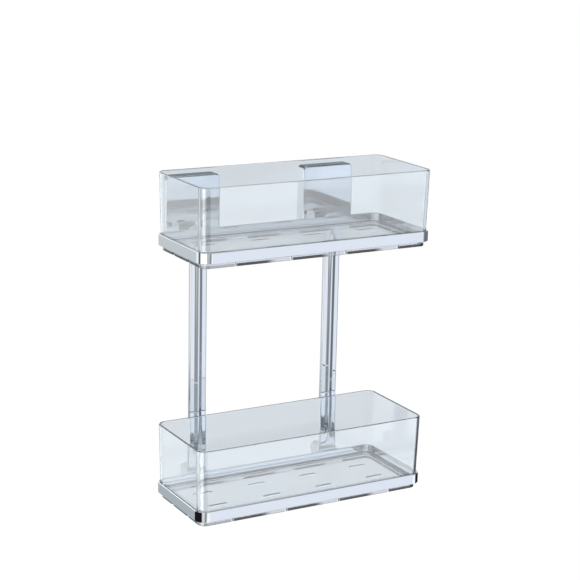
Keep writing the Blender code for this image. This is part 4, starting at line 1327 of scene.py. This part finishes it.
rim_light = between(heading, -160, -112) * between(height, 22, 45) * (1 - entered)
mirror_view = sky.mix(rim_light, mirror_view, RIM_LIGHT)
bounced = sky.math("MAXIMUM", at_least(2, mirrorings), 1 - between(heading, 5, 100))
trapped = bounced * few_passes * between(height, -30, 22)
trapped_edge = between(heading, 72, 182) * between(height, -40, -18)
mirror_view = sky.mix(trapped, mirror_view, sky.mix(trapped_edge, TRAPPED_LIGHT, TRAPPED_EDGE))
from_above = few_passes * between(height, 2, 22) * (1 - between(heading, -146, 146))
mirror_view = sky.mix(from_above, mirror_view, COVER_TOP)
mirror_view = sky.mix(many_passes * between(height, 0, 24), mirror_view, DEEP_LIGHT)
print("nodes so far:", len(world.node_tree.nodes))

# %% World: what each kind of ray sees
EVEN_LIGHT = (0.74, 0.76, 0.79)
THROUGH_LOW = (0.74, 0.775, 0.81)
THROUGH_HIGH = (0.30, 0.32, 0.36)
THROUGH_HEIGHTS = (30, 45)
DEEP_BOOST = 0.4

through_view = sky.mix(sky.window(height, THROUGH_HEIGHTS), THROUGH_LOW, THROUGH_HIGH)
colour = sky.mix(is_through_ray, EVEN_LIGHT, through_view)
mirrored = sky.math("MINIMUM", mirrorings, 1.0)
colour = sky.mix(mirrored, colour, mirror_view)
colour = sky.mix(is_camera_ray, colour, (1.0, 1.0, 1.0))
low_light = sky.math("MAXIMUM", between(height, -24, -16.5), six_passes * between(height, -15, -5))
boost = low_light * mirrored * many_passes
strength = 1 + DEEP_BOOST * boost * (1 - is_camera_ray)
background = sky.node("ShaderNodeBackground", inputs={"Color": colour, "Strength": strength})
sky.node("ShaderNodeOutputWorld", inputs={"Surface": background})
print("world has", len(world.node_tree.nodes), "nodes")

# %% [markdown]
# ## Lamps, cards and floor
#
# One large lamp from the upper left shapes the matt pieces, and a weaker one fills from the right. Both are
# kept out of the mirrors, where they would show as bright squares. Clear plastic has no shade of its own and
# reads by what its walls mirror, so four more lamps stand as cards for the trays. Light linking keeps them
# off the chrome, which has its cards in the world. The floor is a pale plane well below: it glows for the
# camera, so that it melts into the white, and a small matt share of it holds the shadow.

# %% Lamps
def add_softbox(name, place, size, power):
    lamp = bpy.data.lights.new(name, "AREA")
    lamp.shape = "SQUARE"
    lamp.size = size
    lamp.energy = power
    piece = bpy.data.objects.new(name, lamp)
    piece.location = place
    piece.rotation_euler = (CAMERA_TARGET - place).to_track_quat("-Z", "Y").to_euler()
    piece.visible_glossy = False
    piece.visible_transmission = False
    bpy.context.collection.objects.link(piece)
    return piece


key = add_softbox("key_softbox", Vector((-1.2, -1.5, 1.4)), 1.4, 14.0)
fill = add_softbox("fill_softbox", Vector((1.4, -1.6, 0.5)), 1.6, 6.0)
print("lamps:", key.name, fill.name)

# %% Cards that only the trays receive
TRAYS_MIDDLE = (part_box("upper_tray")[1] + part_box("lower_tray")[0]) / 2
# Each row is a card: its name, its heading and height in degrees, its distance and size in metres, its
# radiance, and whether it shows through the plastic.
TRAY_CARDS = [
    ("front_card", 58, -18, 2.2, 1.5, 2.6, False),
    ("corner_card", -56, -16, 1.6, 1.7, 3.2, False),
    ("near_card", -32, -16, 2.0, 1.2, 7.0, False),
    ("side_card", -124, -16, 2.2, 1.5, 0.6, True),
]

tray_group = bpy.data.collections.new("trays")
bpy.context.scene.collection.children.link(tray_group)
tray_group.objects.link(upper_tray)
tray_group.objects.link(lower_tray)
for name, card_heading, card_height, distance, size, radiance, shows_through in TRAY_CARDS:
    turned = math.radians(card_heading) + CAMERA_AZIMUTH
    raised = math.radians(card_height)
    towards_card = Vector((
        math.sin(turned) * math.cos(raised),
        -math.cos(turned) * math.cos(raised),
        math.sin(raised),
    ))
    power = radiance * math.pi * size * size
    card = add_softbox(name, TRAYS_MIDDLE + towards_card * distance, size, power)
    card.visible_glossy = True
    card.visible_transmission = shows_through
    card.light_linking.receiver_collection = tray_group
print("cards for the trays:", len(TRAY_CARDS))

# %% Floor
FLOOR_LEVEL = -1.1
FLOOR_SIZE = 90.0
FLOOR_COLOUR = (0.9, 0.9, 0.9, 1.0)
FLOOR_GLOW = 1.03
GLOW_SHARE = 0.93

bpy.ops.object.select_all(action="DESELECT")
bpy.ops.mesh.primitive_plane_add(size=FLOOR_SIZE, location=(0, 0, FLOOR_LEVEL))
floor = placed("floor")
floor.visible_glossy = False
floor.visible_transmission = False
floor_finish, finish = new_finish("pale_floor")
matt = finish.node("ShaderNodeBsdfDiffuse", inputs={"Color": FLOOR_COLOUR})
glow = finish.node("ShaderNodeEmission", inputs={"Color": (1.0, 1.0, 1.0, 1.0), "Strength": FLOOR_GLOW})
paths = finish.node("ShaderNodeLightPath", output="Is Camera Ray")
both = finish.node("ShaderNodeMixShader", inputs={0: paths * GLOW_SHARE, 1: matt, 2: glow})
finish.node("ShaderNodeOutputMaterial", inputs={"Surface": both})
floor.data.materials.append(floor_finish)
bpy.context.scene.view_settings.view_transform = "Standard"
print("floor at", FLOOR_LEVEL)
